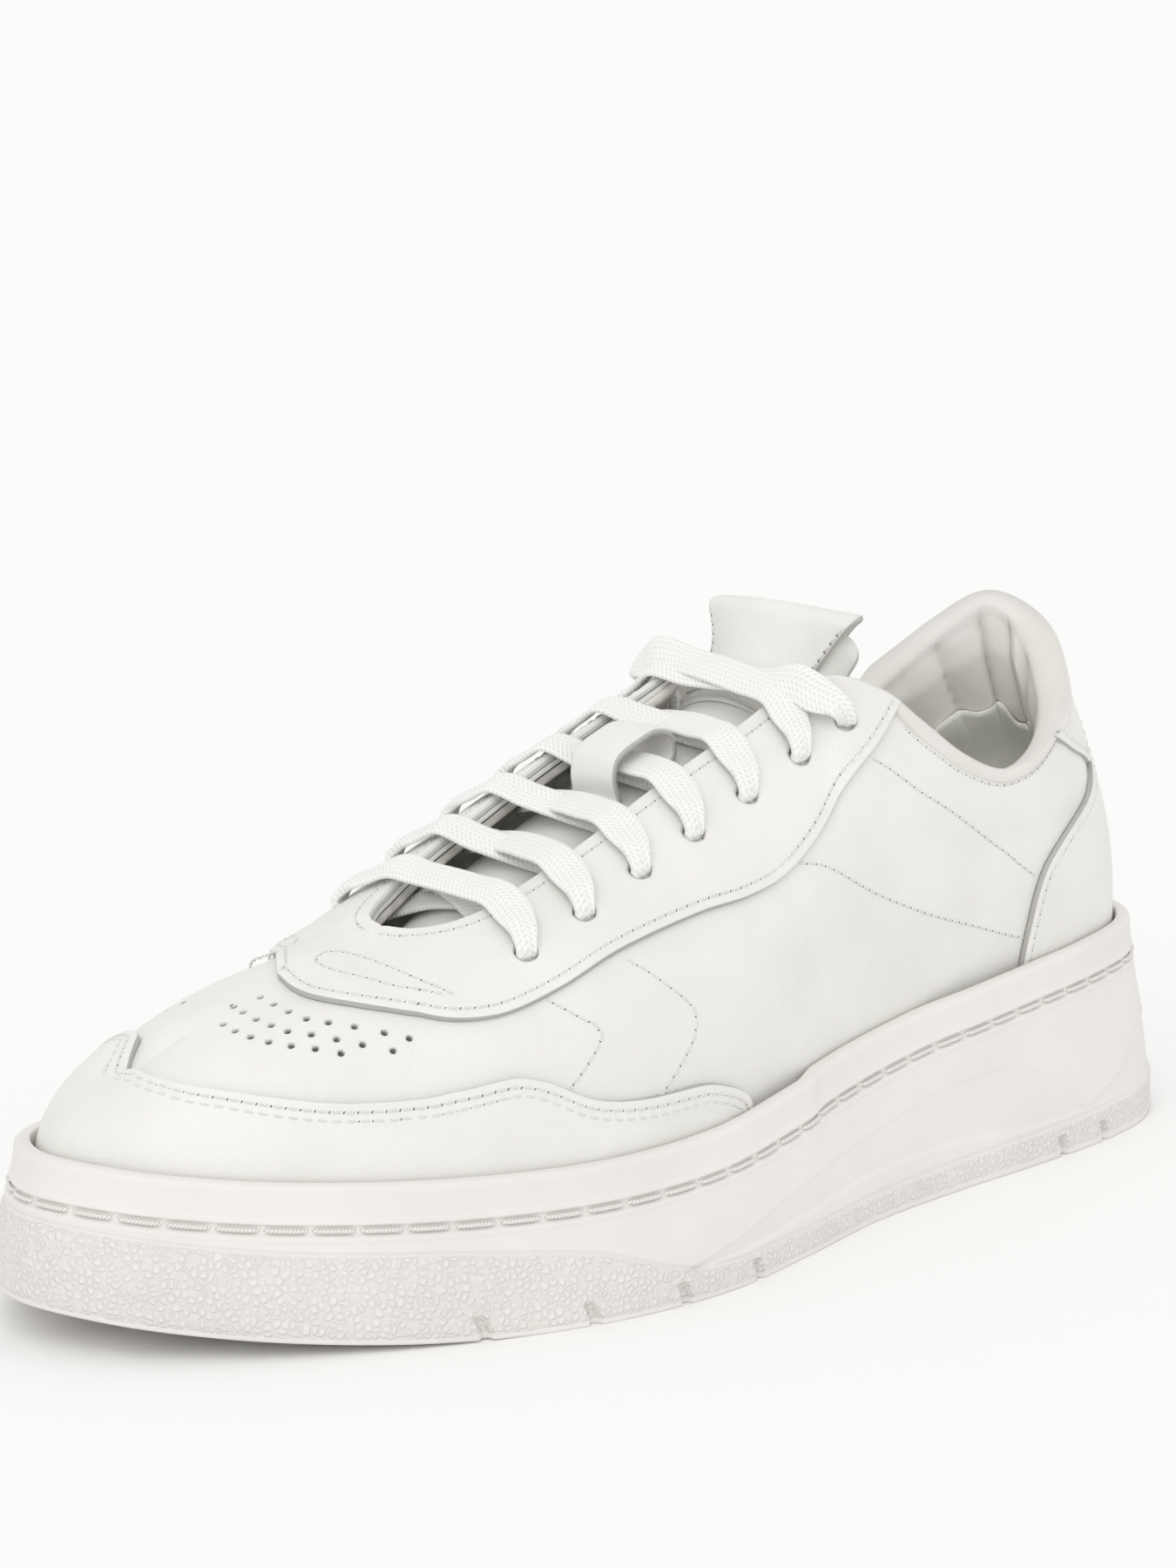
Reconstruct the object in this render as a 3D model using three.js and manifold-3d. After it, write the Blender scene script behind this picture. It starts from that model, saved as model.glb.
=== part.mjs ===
// Low-top leather court shoe, left foot, EU 43, laced and standing on a flat surface.
// Millimetres. +X points to the toe, +Y to the wearer's left (the outer side of the foot), +Z up.
// The origin is under the middle of the sole, at the height of the floor.
import * as THREE from 'three';
import { mergeVertices } from 'three/addons/utils/BufferGeometryUtils.js';
import Module from 'manifold-3d';

const wasm = await Module();
wasm.setup();

// ---------------------------------------------------------------- driving sizes
const shoeLength = 303.5;       // over the sole, heel to toe
const shoeWidth = 108.5;        // over the sole, at the ball of the foot
const upperRise = 1;            // scale of the upper's height over the rim
const rimLift = 0;              // added to the height of the sole's rim
const treadThickness = 5;       // rubber under the midsole
const rimWall = 3.3;            // rubber beside the upper, at the rim
const boardThickness = 1.8;
const sockThickness = 4;
const leather = 1.4;            // shell leather
const overlay = 1.4;            // leather pieces sewn on top of the shell
const stiffener = 0.9;          // sheets between shell and lining
const lining = 0.8;
const gripThickness = 0.9;
const seam = 0.3;               // clearance between sheets that touch
const collarPad = 5.2;          // greatest thickness of the foam in the collar
const tongueFace = 1.3;
const tonguePad = 4.2;
const laceWidth = 8;
const laceThickness = 1.4;
const laceBunched = [4.2, 2.1]; // width and thickness where the lace passes an eyelet
const eyeletDiameter = 5.6;
const aglet = { length: 22, diameter: 3.4 };
const threadDiameter = 1.1;     // thread that sews the sole's wall to the upper
const grooveWidth = 2.4;
const grooveDepth = 1.5;
const grooveBelowRim = 8.5;
const labelThickness = 1.2;
const keeperThickness = 1.1;

// ---------------------------------------------------------------- curves through chosen points
// A smooth curve through [key, value, value ...] rows, read at a key.
function smooth(rows, key) {
  const last = rows.length - 1;
  const x = Math.min(Math.max(key, rows[0][0]), rows[last][0]);
  let i = 0;
  while (i < last - 1 && x >= rows[i + 1][0]) i++;
  const slope = (j, c) => (rows[j + 1][c] - rows[j][c]) / (rows[j + 1][0] - rows[j][0]);
  const tangent = (j, c) => {
    if (j === 0) return slope(0, c);
    if (j === last) return slope(last - 1, c);
    const before = rows[j][0] - rows[j - 1][0];
    const after = rows[j + 1][0] - rows[j][0];
    return (slope(j - 1, c) * after + slope(j, c) * before) / (before + after);
  };
  const h = rows[i + 1][0] - rows[i][0];
  const t = (x - rows[i][0]) / h;
  const a = 2 * t ** 3 - 3 * t ** 2 + 1;
  const b = t ** 3 - 2 * t ** 2 + t;
  const c = -2 * t ** 3 + 3 * t ** 2;
  const d = t ** 3 - t ** 2;
  return rows[i].slice(1).map((v, k) =>
    a * v + b * h * tangent(i, k + 1) + c * rows[i + 1][k + 1] + d * h * tangent(i + 1, k + 1));
}
const smoothstep = (lo, hi, x) => THREE.MathUtils.smoothstep(x, lo, hi);

// ---------------------------------------------------------------- sole outline
// Widest line of the sole from the heel to the toe tip, outer side then inner side.
const outerSide = [[-152.5, -3], [-150.5, 8], [-145, 17.5], [-132, 27.5], [-112, 33.5], [-86, 36.5],
  [-58, 38.5], [-29, 42], [0, 49.5], [28, 55.5], [56, 54.5], [85, 46], [110, 34], [130, 21], [144, 7],
  [151, -12]];
const innerSide = [[-152.5, -3], [-150.5, -13], [-144, -22], [-130, -30], [-110, -34.5], [-84, -36],
  [-56, -36], [-28, -37], [0, -40], [28, -45.5], [56, -51.5], [85, -55], [110, -52.5], [130, -44],
  [144, -30], [151, -12]];
const scaleX = shoeLength / 303.5;
const scaleY = shoeWidth / 108.5;

function makeOutline() {
  const loop = [...outerSide, ...innerSide.slice(1, -1).reverse()].map(([x, y]) => [x * scaleX, y * scaleY]);
  const n = loop.length;
  const rows = [];
  let key = 0;
  for (let i = -2; i <= n + 2; i++) {
    const here = loop[(i + n) % n];
    const before = loop[(i - 1 + n) % n];
    if (i > -2) key += Math.sqrt(Math.hypot(here[0] - before[0], here[1] - before[1]));
    rows.push([key, ...here]);
  }
  const start = rows[2][0];
  const end = rows[n + 2][0];
  const count = 1200;
  const dense = [];
  let length = 0;
  let tip = 0;
  for (let i = 0; i <= count; i++) {
    const k = start + (end - start) * i / count;
    const q = smooth(rows, k);
    if (i > 0) length += Math.hypot(q[0] - dense[i - 1][1], q[1] - dense[i - 1][2]);
    dense.push([length, ...q]);
    if (k <= rows[outerSide.length + 1][0]) tip = length;
  }
  return { dense, length, tip };
}
const outlineLoop = makeOutline();

function outlineAt(distance) {
  const { dense, length } = outlineLoop;
  const s = ((distance % length) + length) % length;
  let lo = 0;
  let hi = dense.length - 1;
  while (hi - lo > 1) {
    const mid = (lo + hi) >> 1;
    if (dense[mid][0] <= s) lo = mid; else hi = mid;
  }
  const t = (s - dense[lo][0]) / (dense[hi][0] - dense[lo][0]);
  return [THREE.MathUtils.lerp(dense[lo][1], dense[hi][1], t), THREE.MathUtils.lerp(dense[lo][2], dense[hi][2], t)];
}

// p runs from 0 at the back of the heel to 1 at the toe tip along one side (1 outer, -1 inner).
function outline(p, side) {
  const { length, tip } = outlineLoop;
  const s = side > 0 ? p * tip : length - p * (length - tip);
  const e = 0.8;
  const [x, y] = outlineAt(s);
  const [x0, y0] = outlineAt(s - e);
  const [x1, y1] = outlineAt(s + e);
  const l = Math.hypot(x1 - x0, y1 - y0);
  return { x, y, nx: -(y1 - y0) / l, ny: (x1 - x0) / l };
}
const inwards = (p, side, distance) => {
  const o = outline(p, side);
  return [o.x - o.nx * distance, o.y - o.ny * distance];
};

// ---------------------------------------------------------------- sole heights
const rimHeights = [[-160, 46.5], [-120, 45.5], [-70, 42], [-20, 36.5], [30, 32], [80, 31], [120, 33], [160, 38]];
const boardHeights = [[-160, 27], [-100, 26], [-40, 20.5], [30, 14.5], [80, 13.5], [120, 16.5], [160, 22]];
const rimZ = (x) => smooth(rimHeights, x / scaleX)[0] + rimLift;
const boardZ = (x) => smooth(boardHeights, x / scaleX)[0];
const toeSpring = (x) => (x > 70 * scaleX ? 9 * ((x / scaleX - 70) / 82) ** 2 : 0)
  + (x < -125 * scaleX ? 2 * ((-125 - x / scaleX) / 28) ** 2 : 0);
// distance from the widest line of the sole in to the foot of the upper
const upperInset = (p) => smooth([[0, 12.2], [0.1, 10.7], [0.3, 9.2], [0.6, 8.7], [0.8, 9.2], [1, 9.7]], p)[0];

// ---------------------------------------------------------------- the upper
// Rows: p, top edge x y z, lean and length of the lower handle, upper handle x y z.
// The top edge runs round the collar, down the throat, and from p = 0.77 along the ridge to the toe.
const outerUpper = [
  [0.00, -123, -5, 115, 2.0, 30, -8, 1, -28],
  [0.04, -124, 2, 109, 2.0, 30, -8, 4, -26],
  [0.08, -120, 9.5, 100, 2.0, 28, -6, 6, -24],
  [0.12, -112, 17, 95.5, 2.0, 24, -4, 7, -20],
  [0.17, -102, 23.5, 91.5, 2.0, 22, -1, 7, -16],
  [0.22, -90, 28, 88, 2.0, 20, 0, 6, -14],
  [0.27, -78, 30, 87.5, 2.0, 18, 0, 5, -13],
  [0.33, -64, 31, 93, 2.5, 18, 0, 5, -16],
  [0.39, -51, 30.5, 102, 3.0, 20, 0, 6, -22],
  [0.44, -41, 28, 109.5, 3.5, 22, 0, 9, -26],
  [0.48, -33, 22, 112, 4.0, 24, 0, 16, -26],
  [0.51, -28, 15.5, 108.5, 5.0, 26, 0, 24, -22],
  [0.56, -9, 14.5, 100, 5.0, 26, 0, 26, -14],
  [0.61, 12, 14.5, 91.5, 6.0, 24, 0, 26, -11],
  [0.66, 30, 14.5, 83.5, 6.5, 21, 0, 26, -9],
  [0.71, 47, 13.5, 76.5, 6.5, 18, 0, 26, -9],
  [0.745, 57, 10, 72, 6.0, 16, 4, 26, -7],
  [0.77, 64, -2, 70, 6.0, 16, 6, 30, -3],
  [0.83, 82, -4, 67, 5.5, 16, 10, 28, -3],
  [0.89, 98, -6, 62, 5.0, 14, 14, 22, -5],
  [0.95, 109, -8, 57.5, 4.5, 13, 18, 12, -6],
  [1.00, 115, -9, 54.5, 4.0, 12, 20, 0, -8],
];
const innerUpper = [
  [0.00, -123, -5, 115, 2.0, 30, -8, 1, -28],
  [0.04, -119, -12, 117, 2.0, 30, -8, -4, -28],
  [0.08, -112, -18.5, 111.5, 2.0, 28, -6, -6, -26],
  [0.12, -104, -25, 103.5, 2.0, 24, -4, -7, -22],
  [0.17, -95, -30, 96, 2.0, 22, -1, -7, -18],
  [0.22, -84, -32.5, 91, 2.0, 20, 0, -6, -14],
  [0.27, -74, -33, 89.5, 2.0, 18, 0, -5, -13],
  [0.33, -62, -33, 93, 2.5, 18, 0, -5, -16],
  [0.39, -50, -33, 102, 3.0, 20, 0, -6, -22],
  [0.44, -41, -31, 109.5, 3.5, 22, 0, -9, -26],
  [0.48, -33, -25, 113, 4.0, 24, 0, -16, -26],
  [0.51, -28, -19, 110, 5.0, 26, 0, -24, -22],
  [0.56, -9, -18, 102, 5.0, 26, 0, -26, -14],
  [0.61, 12, -18, 93.5, 6.0, 24, 0, -26, -11],
  [0.66, 30, -17.5, 85.5, 6.5, 21, 0, -26, -9],
  [0.71, 47, -16.5, 78, 6.5, 18, 0, -26, -9],
  [0.745, 57, -13, 73, 6.0, 16, 4, -26, -7],
  [0.77, 64, -2, 70, 6.0, 16, 6, -30, -3],
  [0.83, 82, -4, 67, 5.5, 16, 10, -28, -3],
  [0.89, 98, -6, 62, 5.0, 14, 14, -22, -5],
  [0.95, 109, -8, 57.5, 4.5, 13, 18, -12, -6],
  [1.00, 115, -9, 54.5, 4.0, 12, 20, 0, -8],
];
const ridgeStart = 0.77;
const wallTuck = 6;             // how far the upper's side starts under the rim
const footRow = -0.3;           // v of the edge sewn to the board
const tuckRow = -0.15;

// Outer face of the shell leather. v is 0 just under the rim and 1 on the top edge.
function upperPoint(p, v, side) {
  const k = smooth(side > 0 ? outerUpper : innerUpper, p);
  const inset = upperInset(p);
  const o = outline(p, side);
  const base = new THREE.Vector3(o.x - o.nx * inset, o.y - o.ny * inset, 0);
  base.z = rimZ(o.x) - wallTuck;
  if (v < 0) {
    const t = v / footRow;
    const low = inwards(p, side, inset + 3 * t * t);
    return new THREE.Vector3(low[0], low[1], THREE.MathUtils.lerp(base.z, boardZ(o.x), t));
  }
  const lift = (z) => rimZ(k[0]) + (z - rimZ(k[0])) * upperRise;
  const top = new THREE.Vector3(k[0] * scaleX, k[1] * scaleY, lift(k[2] + rimLift));
  const lean = k[3] / 20 * 0.35 * k[4];
  const low = base.clone().add(new THREE.Vector3(o.nx * lean, o.ny * lean, k[4]));
  const high = top.clone().add(new THREE.Vector3(k[5] * scaleX, k[6] * scaleY, k[7]));
  const u = 1 - v;
  return base.multiplyScalar(u ** 3).addScaledVector(low, 3 * u * u * v)
    .addScaledVector(high, 3 * u * v * v).addScaledVector(top, v ** 3);
}

function upperNormal(p, v, side) {
  const e = 0.003;
  const clampP = (x) => Math.min(Math.max(x, 0), 1);
  const clampV = (x) => Math.min(Math.max(x, footRow), 1);
  const dp = upperPoint(clampP(p + e), v, side).sub(upperPoint(clampP(p - e), v, side));
  const dv = upperPoint(p, clampV(v + e), side).sub(upperPoint(p, clampV(v - e), side));
  return dp.cross(dv).multiplyScalar(-side).normalize();
}

// The shell is sampled once; every sheet of the upper is cut from these facets, so all sheets are parallel.
const columns = [0, 0.04, 0.08, 0.125, 0.17, 0.23, 0.29, 0.35, 0.41, 0.45, 0.48, 0.51, 0.56, 0.62, 0.68, 0.73,
  ridgeStart, 0.82, 0.87, 0.92, 0.96, 1];
const rows = [footRow, tuckRow, 0, 0.25, 0.47, 0.66, 0.81, 0.92, 1];
function sampleShell() {
  const shell = {};
  for (const side of [1, -1]) {
    shell[side] = columns.map((p) => rows.map((v) => ({
      point: upperPoint(p, v, side), normal: upperNormal(p, v, side) })));
  }
  columns.forEach((p, i) => rows.forEach((v, j) => {
    const onRidge = p >= ridgeStart && j === rows.length - 1;
    if (p !== 0 && p !== 1 && !onRidge) return;
    const a = shell[1][i][j];
    const b = shell[-1][i][j];
    a.normal.add(b.normal).normalize();
    b.normal.copy(a.normal);
    b.point.copy(a.point);
  }));
  return shell;
}
const shell = sampleShell();

// The two facets of a cell, each as three [column, row] corners, split along its shorter diagonal.
function cellFacets(i, j, side) {
  const at = (a, b) => shell[side][a][b].point;
  const rising = at(i, j).distanceTo(at(i + 1, j + 1)) <= at(i + 1, j).distanceTo(at(i, j + 1));
  return rising
    ? [[[i, j], [i + 1, j], [i + 1, j + 1]], [[i, j], [i + 1, j + 1], [i, j + 1]]]
    : [[[i, j], [i + 1, j], [i, j + 1]], [[i + 1, j], [i + 1, j + 1], [i, j + 1]]];
}

// Point of a facet of the shell at (p, v), moved out along its normal.
function facetPoint(facet, side, p, v, offset) {
  const [a, b, c] = facet.map(([i, j]) => [columns[i], rows[j]]);
  const whole = (b[0] - a[0]) * (c[1] - a[1]) - (c[0] - a[0]) * (b[1] - a[1]);
  const wb = ((p - a[0]) * (c[1] - a[1]) - (c[0] - a[0]) * (v - a[1])) / whole;
  const wc = ((b[0] - a[0]) * (v - a[1]) - (p - a[0]) * (b[1] - a[1])) / whole;
  const weights = [1 - wb - wc, wb, wc];
  const point = new THREE.Vector3();
  facet.forEach(([i, j], k) => {
    point.addScaledVector(shell[side][i][j].point, weights[k]);
    point.addScaledVector(shell[side][i][j].normal, weights[k] * offset);
  });
  return point;
}

// ---------------------------------------------------------------- solids
const material = (color, roughness, metalness = 0) =>
  new THREE.MeshStandardMaterial({ color, roughness, metalness });
const whiteLeather = material(0xe9e8e4, 0.5);
const greyLining = material(0xd3d0ca, 0.6);
const textile = material(0xdedcd6, 0.9);
const foam = material(0xd9d2b4, 0.95);
const board = material(0xcfc8b8, 0.9);
const rubber = material(0xe8e4e1, 0.55);
const thread = material(0xf0efec, 0.7);
const laceCotton = material(0xf4f4f2, 0.85);
const plastic = material(0xf2f2f0, 0.3);

const object = new THREE.Group();

function addMesh(name, geometry, look) {
  const mesh = new THREE.Mesh(geometry, look);
  mesh.name = name;
  object.add(mesh);
}

// Collects triangles and joins corners that fall on the same place.
class Facets {
  constructor() {
    this.points = [];
    this.index = new Map();
    this.faces = [];
  }

  corner(v) {
    const key = [v.x, v.y, v.z].map((c) => Math.round(c * 2000)).join(',');
    if (!this.index.has(key)) {
      this.index.set(key, this.points.length);
      this.points.push(v);
    }
    return this.index.get(key);
  }

  face(a, b, c) {
    if (a !== b && b !== c && c !== a) this.faces.push([a, b, c]);
  }

  quad(a, b, c, d) {
    const p = this.points;
    if (p[a].distanceToSquared(p[c]) <= p[b].distanceToSquared(p[d])) {
      this.face(a, b, c);
      this.face(a, c, d);
    } else {
      this.face(a, b, d);
      this.face(b, c, d);
    }
  }

  geometry() {
    const g = new THREE.BufferGeometry();
    g.setAttribute('position', new THREE.BufferAttribute(new Float32Array(this.points.flatMap((v) =>
      [v.x, v.y, v.z])), 3));
    g.setIndex(this.faces.flat());
    let volume = 0;
    for (const [a, b, c] of this.faces) {
      volume += this.points[a].dot(this.points[b].clone().cross(this.points[c]));
    }
    if (volume < 0) g.setIndex(this.faces.flatMap(([a, b, c]) => [a, c, b]));
    return g;
  }
}

// Closes a sheet: `skin` holds triangles whose corners each have an outer and an inner point.
function thicken(skin, outer, inner) {
  const facets = new Facets();
  const top = outer.map((v) => facets.points.push(v) - 1);
  const bottom = inner.map((v) => facets.points.push(v) - 1);
  const edges = new Map();
  for (const [a, b, c] of skin) {
    facets.face(top[a], top[b], top[c]);
    facets.face(bottom[a], bottom[c], bottom[b]);
    for (const [s, e] of [[a, b], [b, c], [c, a]]) {
      if (edges.has(`${e},${s}`)) edges.delete(`${e},${s}`);
      else edges.set(`${s},${e}`, [s, e]);
    }
  }
  for (const [s, e] of edges.values()) {
    facets.face(top[s], bottom[s], bottom[e]);
    facets.face(top[s], bottom[e], top[e]);
  }
  return facets.geometry();
}

// Keeps the part of a polygon on the left of the line from a to b.
function clip(polygon, a, b) {
  const out = [];
  const left = (q) => (b[0] - a[0]) * (q[1] - a[1]) - (b[1] - a[1]) * (q[0] - a[0]);
  polygon.forEach((q, i) => {
    const next = polygon[(i + 1) % polygon.length];
    const here = left(q);
    const there = left(next);
    if (here >= -1e-12) out.push(q);
    if ((here >= -1e-12) !== (there >= -1e-12)) {
      const t = here / (here - there);
      out.push([q[0] + (next[0] - q[0]) * t, q[1] + (next[1] - q[1]) * t]);
    }
  });
  return out;
}

// A sheet cut from the shell. A region is a list of [p, v] corners on each side of the shoe.
function sheet(regions, outerOffset, innerOffset) {
  const number = (f) => (typeof f === 'number' ? () => f : f);
  const outerAt = number(outerOffset);
  const innerAt = number(innerOffset);
  const facets = new Facets();
  const inner = [];
  const skin = [];
  const place = (facet, side, region) => {
    const [a, b, c] = facet.map(([i, j]) => [columns[i], rows[j]]);
    const cell = clip(clip(clip(region, a, b), b, c), c, a);
    const corners = cell.filter((q, n) => {
      const before = cell[(n - 1 + cell.length) % cell.length];
      return Math.hypot(q[0] - before[0], q[1] - before[1]) > 1e-5;
    });
    if (corners.length < 3) return;
    const flat = corners.map(([x, y]) => new THREE.Vector2(x, y));
    if (Math.abs(THREE.ShapeUtils.area(flat)) < 1e-7) return;
    const at = corners.map(([p, v]) => {
      const id = facets.corner(facetPoint(facet, side, p, v, outerAt(p, v)));
      inner[id] ??= facetPoint(facet, side, p, v, innerAt(p, v));
      return id;
    });
    for (const [i, j, k] of THREE.ShapeUtils.triangulateShape(flat, [])) {
      const turn = THREE.ShapeUtils.area([flat[i], flat[j], flat[k]]) * side;
      const face = turn < 0 ? [at[i], at[j], at[k]] : [at[i], at[k], at[j]];
      if (new Set(face).size === 3) skin.push(face);
    }
  };
  for (const [side, region] of [[1, regions.outer], [-1, regions.inner]]) {
    if (!region) continue;
    for (let i = 0; i < columns.length - 1; i++) {
      for (let j = 0; j < rows.length - 1; j++) {
        for (const facet of cellFacets(i, j, side)) place(facet, side, region);
      }
    }
  }
  return thicken(skin, facets.points, inner);
}

const both = (region) => ({ outer: region, inner: region });
// Samples the curve v(p) through chosen points.
const edge = (points, count = 24) => Array.from({ length: count + 1 }, (_, i) => {
  const p = THREE.MathUtils.lerp(points[0][0], points[points.length - 1][0], i / count);
  return [p, smooth(points, p)[0]];
});
const below = (line, foot) => [...line, [line[line.length - 1][0], foot], [line[0][0], foot]];
const above = (line) => [...line, [line[line.length - 1][0], 1], [line[0][0], 1]];

// A closed body round the whole shoe: `profile` gives the corners of a section from the middle of the
// underside round to the middle of the top, as [x, y, z], for a place p on one side.
function roundTheSole(profile, closed = false) {
  const facets = new Facets();
  for (const side of [1, -1]) {
    const lines = columns.map((p) => profile(p, side).map((q) => facets.corner(new THREE.Vector3(...q))));
    for (let i = 0; i < columns.length - 1; i++) {
      const count = lines[i].length;
      for (let j = 0; j < (closed ? count : count - 1); j++) {
        const k = (j + 1) % count;
        const corners = [lines[i][j], lines[i + 1][j], lines[i + 1][k], lines[i][k]];
        if (side < 0) corners.reverse();
        facets.quad(...corners);
      }
    }
  }
  return facets.geometry();
}

// Middle of the shoe at p, level with both sides.
function spine(p, distance) {
  const a = inwards(p, 1, distance);
  const b = inwards(p, -1, distance);
  return [(a[0] + b[0]) / 2, (a[1] + b[1]) / 2];
}

// ---------------------------------------------------------------- lines on the upper
const overlayFoot = tuckRow;     // the sewn-on pieces end between the wall of the sole and the shell
const toeCapLine = edge([[0.508, overlayFoot], [0.527, 0.054], [0.551, 0.124], [0.615, 0.17], [0.663, 0.216],
  [0.697, 0.32], [0.743, 0.409], [0.78, 0.355], [0.82, 0.367], [0.878, 0.545], [0.93, 0.74], [1, 0.93]], 20);
const eyestayLine = edge([[0.417, 1], [0.453, 0.842], [0.493, 0.722], [0.541, 0.602], [0.569, 0.591],
  [0.607, 0.622], [0.673, 0.653], [0.709, 0.645], [0.749, 0.632], [0.782, 0.672], [0.828, 0.788],
  [0.86, 1]], 16);
const counterLine = [[0, 0.72], [0.04, 0.705], [0.08, 0.687], [0.12, 0.66], [0.156, 0.622], [0.19, 0.565],
  [0.212, 0.49], [0.222, 0.4], [0.229, 0.25], [0.234, 0.1], [0.236, overlayFoot]];
const tabLine = [[0.084, 0.705], [0.104, 0.772], [0.136, 0.87], [0.172, 1]];
const collarPadFront = 0.45;   // p where the foam of the collar ends
const liningSplit = 0.56;       // p where the textile lining meets the leather one

// ---------------------------------------------------------------- offsets of the sheets from the shell face
const overlayFace = seam + overlay;
const layer1 = -leather - seam;               // stiffeners and foam start here
const layer1In = layer1 - stiffener;
const layer2 = layer1In - seam;               // lining
const layer2In = layer2 - lining;
const padDepth = (p, v) => {
  const along = 1 - smoothstep(collarPadFront - 0.09, collarPadFront + 0.02, p);
  const up = smoothstep(0.5, 0.74, v) * (1 - 0.8 * smoothstep(0.86, 1, v));
  return stiffener + (collarPad - stiffener) * along * up;
};
const liningOuter = (p, v) => layer1 - padDepth(p, v) - seam;
const liningInner = (p, v) => liningOuter(p, v) - lining;

// ---------------------------------------------------------------- sole unit
const overlayHere = (p) => Math.max(1 - smoothstep(0.29, 0.35, p), smoothstep(0.45, 0.48, p));
const rimClearance = (p) => seam + 0.5 + (overlay + seam) * overlayHere(p);

function cupsoleProfile(p, side) {
  const o = outline(p, side);
  const low = toeSpring(o.x);
  const rim = rimZ(o.x);
  const inner = upperInset(p) - rimClearance(p);
  const outer = inner - rimWall;
  const groove = rim - grooveBelowRim;
  const height = rim - low;
  const belly = (z) => THREE.MathUtils.lerp(outer, 0, smoothstep(0, 1, (rim - z) / (height - 7)));
  const at = (distance, z) => [...inwards(p, side, distance), z];
  const mid = spine(p, 16);
  const midLow = toeSpring(mid[0]);
  return [
    [...mid, midLow],
    at(7.5, low),
    at(1.6, low + 1.6),
    at(0, low + 6.5),
    at(belly(rim - 0.62 * height), rim - 0.62 * height),
    at(belly(groove - grooveWidth / 2), groove - grooveWidth / 2),
    at(belly(groove) + grooveDepth, groove),
    at(belly(groove + grooveWidth / 2), groove + grooveWidth / 2),
    at(outer + 0.2, rim - 1.6),
    at(outer + 1.4, rim),
    at(inner - 0.6, rim - 0.2),
    at(inner - 0.1, rim - 1.2),
    at(inner - 0.1, rim - wallTuck),
    at(inner + 0.65, (rim - wallTuck + boardZ(o.x)) / 2),
    at(inner + 2.8, boardZ(o.x)),
    at(inner + 4, low + treadThickness + 1),
    [...mid, midLow + treadThickness],
  ];
}

function plateProfile(inset, bottom, top, bevel = 0) {
  return (p, side) => {
    const o = outline(p, side);
    const mid = spine(p, 22);
    const edgeAt = (distance, z) => [...inwards(p, side, distance), z];
    return [[...mid, bottom(mid[0])], edgeAt(inset(p), bottom(o.x)), edgeAt(inset(p) + bevel, top(o.x)),
      [...mid, top(mid[0])]];
  };
}

function threadProfile(p, side) {
  const o = outline(p, side);
  const rim = rimZ(o.x);
  const inner = upperInset(p) - rimClearance(p);
  const outer = inner - rimWall;
  const height = rim - toeSpring(o.x);
  const z = rim - grooveBelowRim;
  const depth = THREE.MathUtils.lerp(outer, 0, smoothstep(0, 1, grooveBelowRim / (height - 7))) + 0.1;
  const r = threadDiameter / 2;
  return Array.from({ length: 6 }, (_, i) => {
    const a = Math.PI * 2 * i / 6;
    return [...inwards(p, side, depth + r * 0.6 * Math.cos(a)), z + r * Math.sin(a)];
  });
}

const upperFoot = (p) => upperInset(p) + 3;
const boardInset = (p) => upperFoot(p) + leather + stiffener + lining + 4 * seam;
const sockTop = (x) => boardZ(x) + boardThickness + seam + sockThickness;

addMesh('cupsole', roundTheSole(cupsoleProfile), rubber);
addMesh('sidewall_thread', roundTheSole(threadProfile, true), thread);
addMesh('midsole_insert', roundTheSole(plateProfile((p) => upperInset(p) - rimClearance(p) + 6.1,
  (x) => toeSpring(x) + treadThickness + 1 + seam, (x) => boardZ(x) - seam, -1.2)), foam);
addMesh('strobel_board', roundTheSole(plateProfile(boardInset, boardZ, (x) => boardZ(x) + boardThickness)), board);
addMesh('sockliner', roundTheSole(plateProfile((p) => boardInset(p) + 2.2,
  (x) => boardZ(x) + boardThickness + seam, sockTop, 0.6)), textile);

// ---------------------------------------------------------------- eyelets
const eyelets = [[0.477, 0.896], [0.525, 0.853], [0.565, 0.834], [0.602, 0.826], [0.642, 0.825],
  [0.685, 0.817], [0.729, 0.795]];
const asSolid = (geometry) => {
  const merged = mergeVertices(geometry.index ? geometry : geometry.clone(), 1e-4);
  return new wasm.Manifold(new wasm.Mesh({ numProp: 3,
    vertProperties: new Float32Array(merged.attributes.position.array),
    triVerts: new Uint32Array(merged.index.array) }));
};
const asGeometry = (solid) => {
  const mesh = solid.getMesh();
  const g = new THREE.BufferGeometry();
  g.setAttribute('position', new THREE.BufferAttribute(new Float32Array(mesh.vertProperties), 3));
  g.setIndex(Array.from(mesh.triVerts));
  return g;
};

function eyeletPunches(side) {
  return eyelets.map(([p, v]) => {
    const punch = new THREE.CylinderGeometry(eyeletDiameter / 2, eyeletDiameter / 2, 12, 8);
    const normal = upperNormal(p, v, side);
    punch.applyQuaternion(new THREE.Quaternion().setFromUnitVectors(new THREE.Vector3(0, 1, 0), normal));
    const at = upperPoint(p, v, side);
    punch.translate(at.x, at.y, at.z);
    punch.deleteAttribute('normal');
    punch.deleteAttribute('uv');
    return asSolid(punch);
  });
}
const punches = [...eyeletPunches(1), ...eyeletPunches(-1)];
function punched(geometry) {
  let solid = asSolid(geometry);
  for (const punch of punches) solid = solid.subtract(punch);
  return asGeometry(solid);
}

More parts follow.
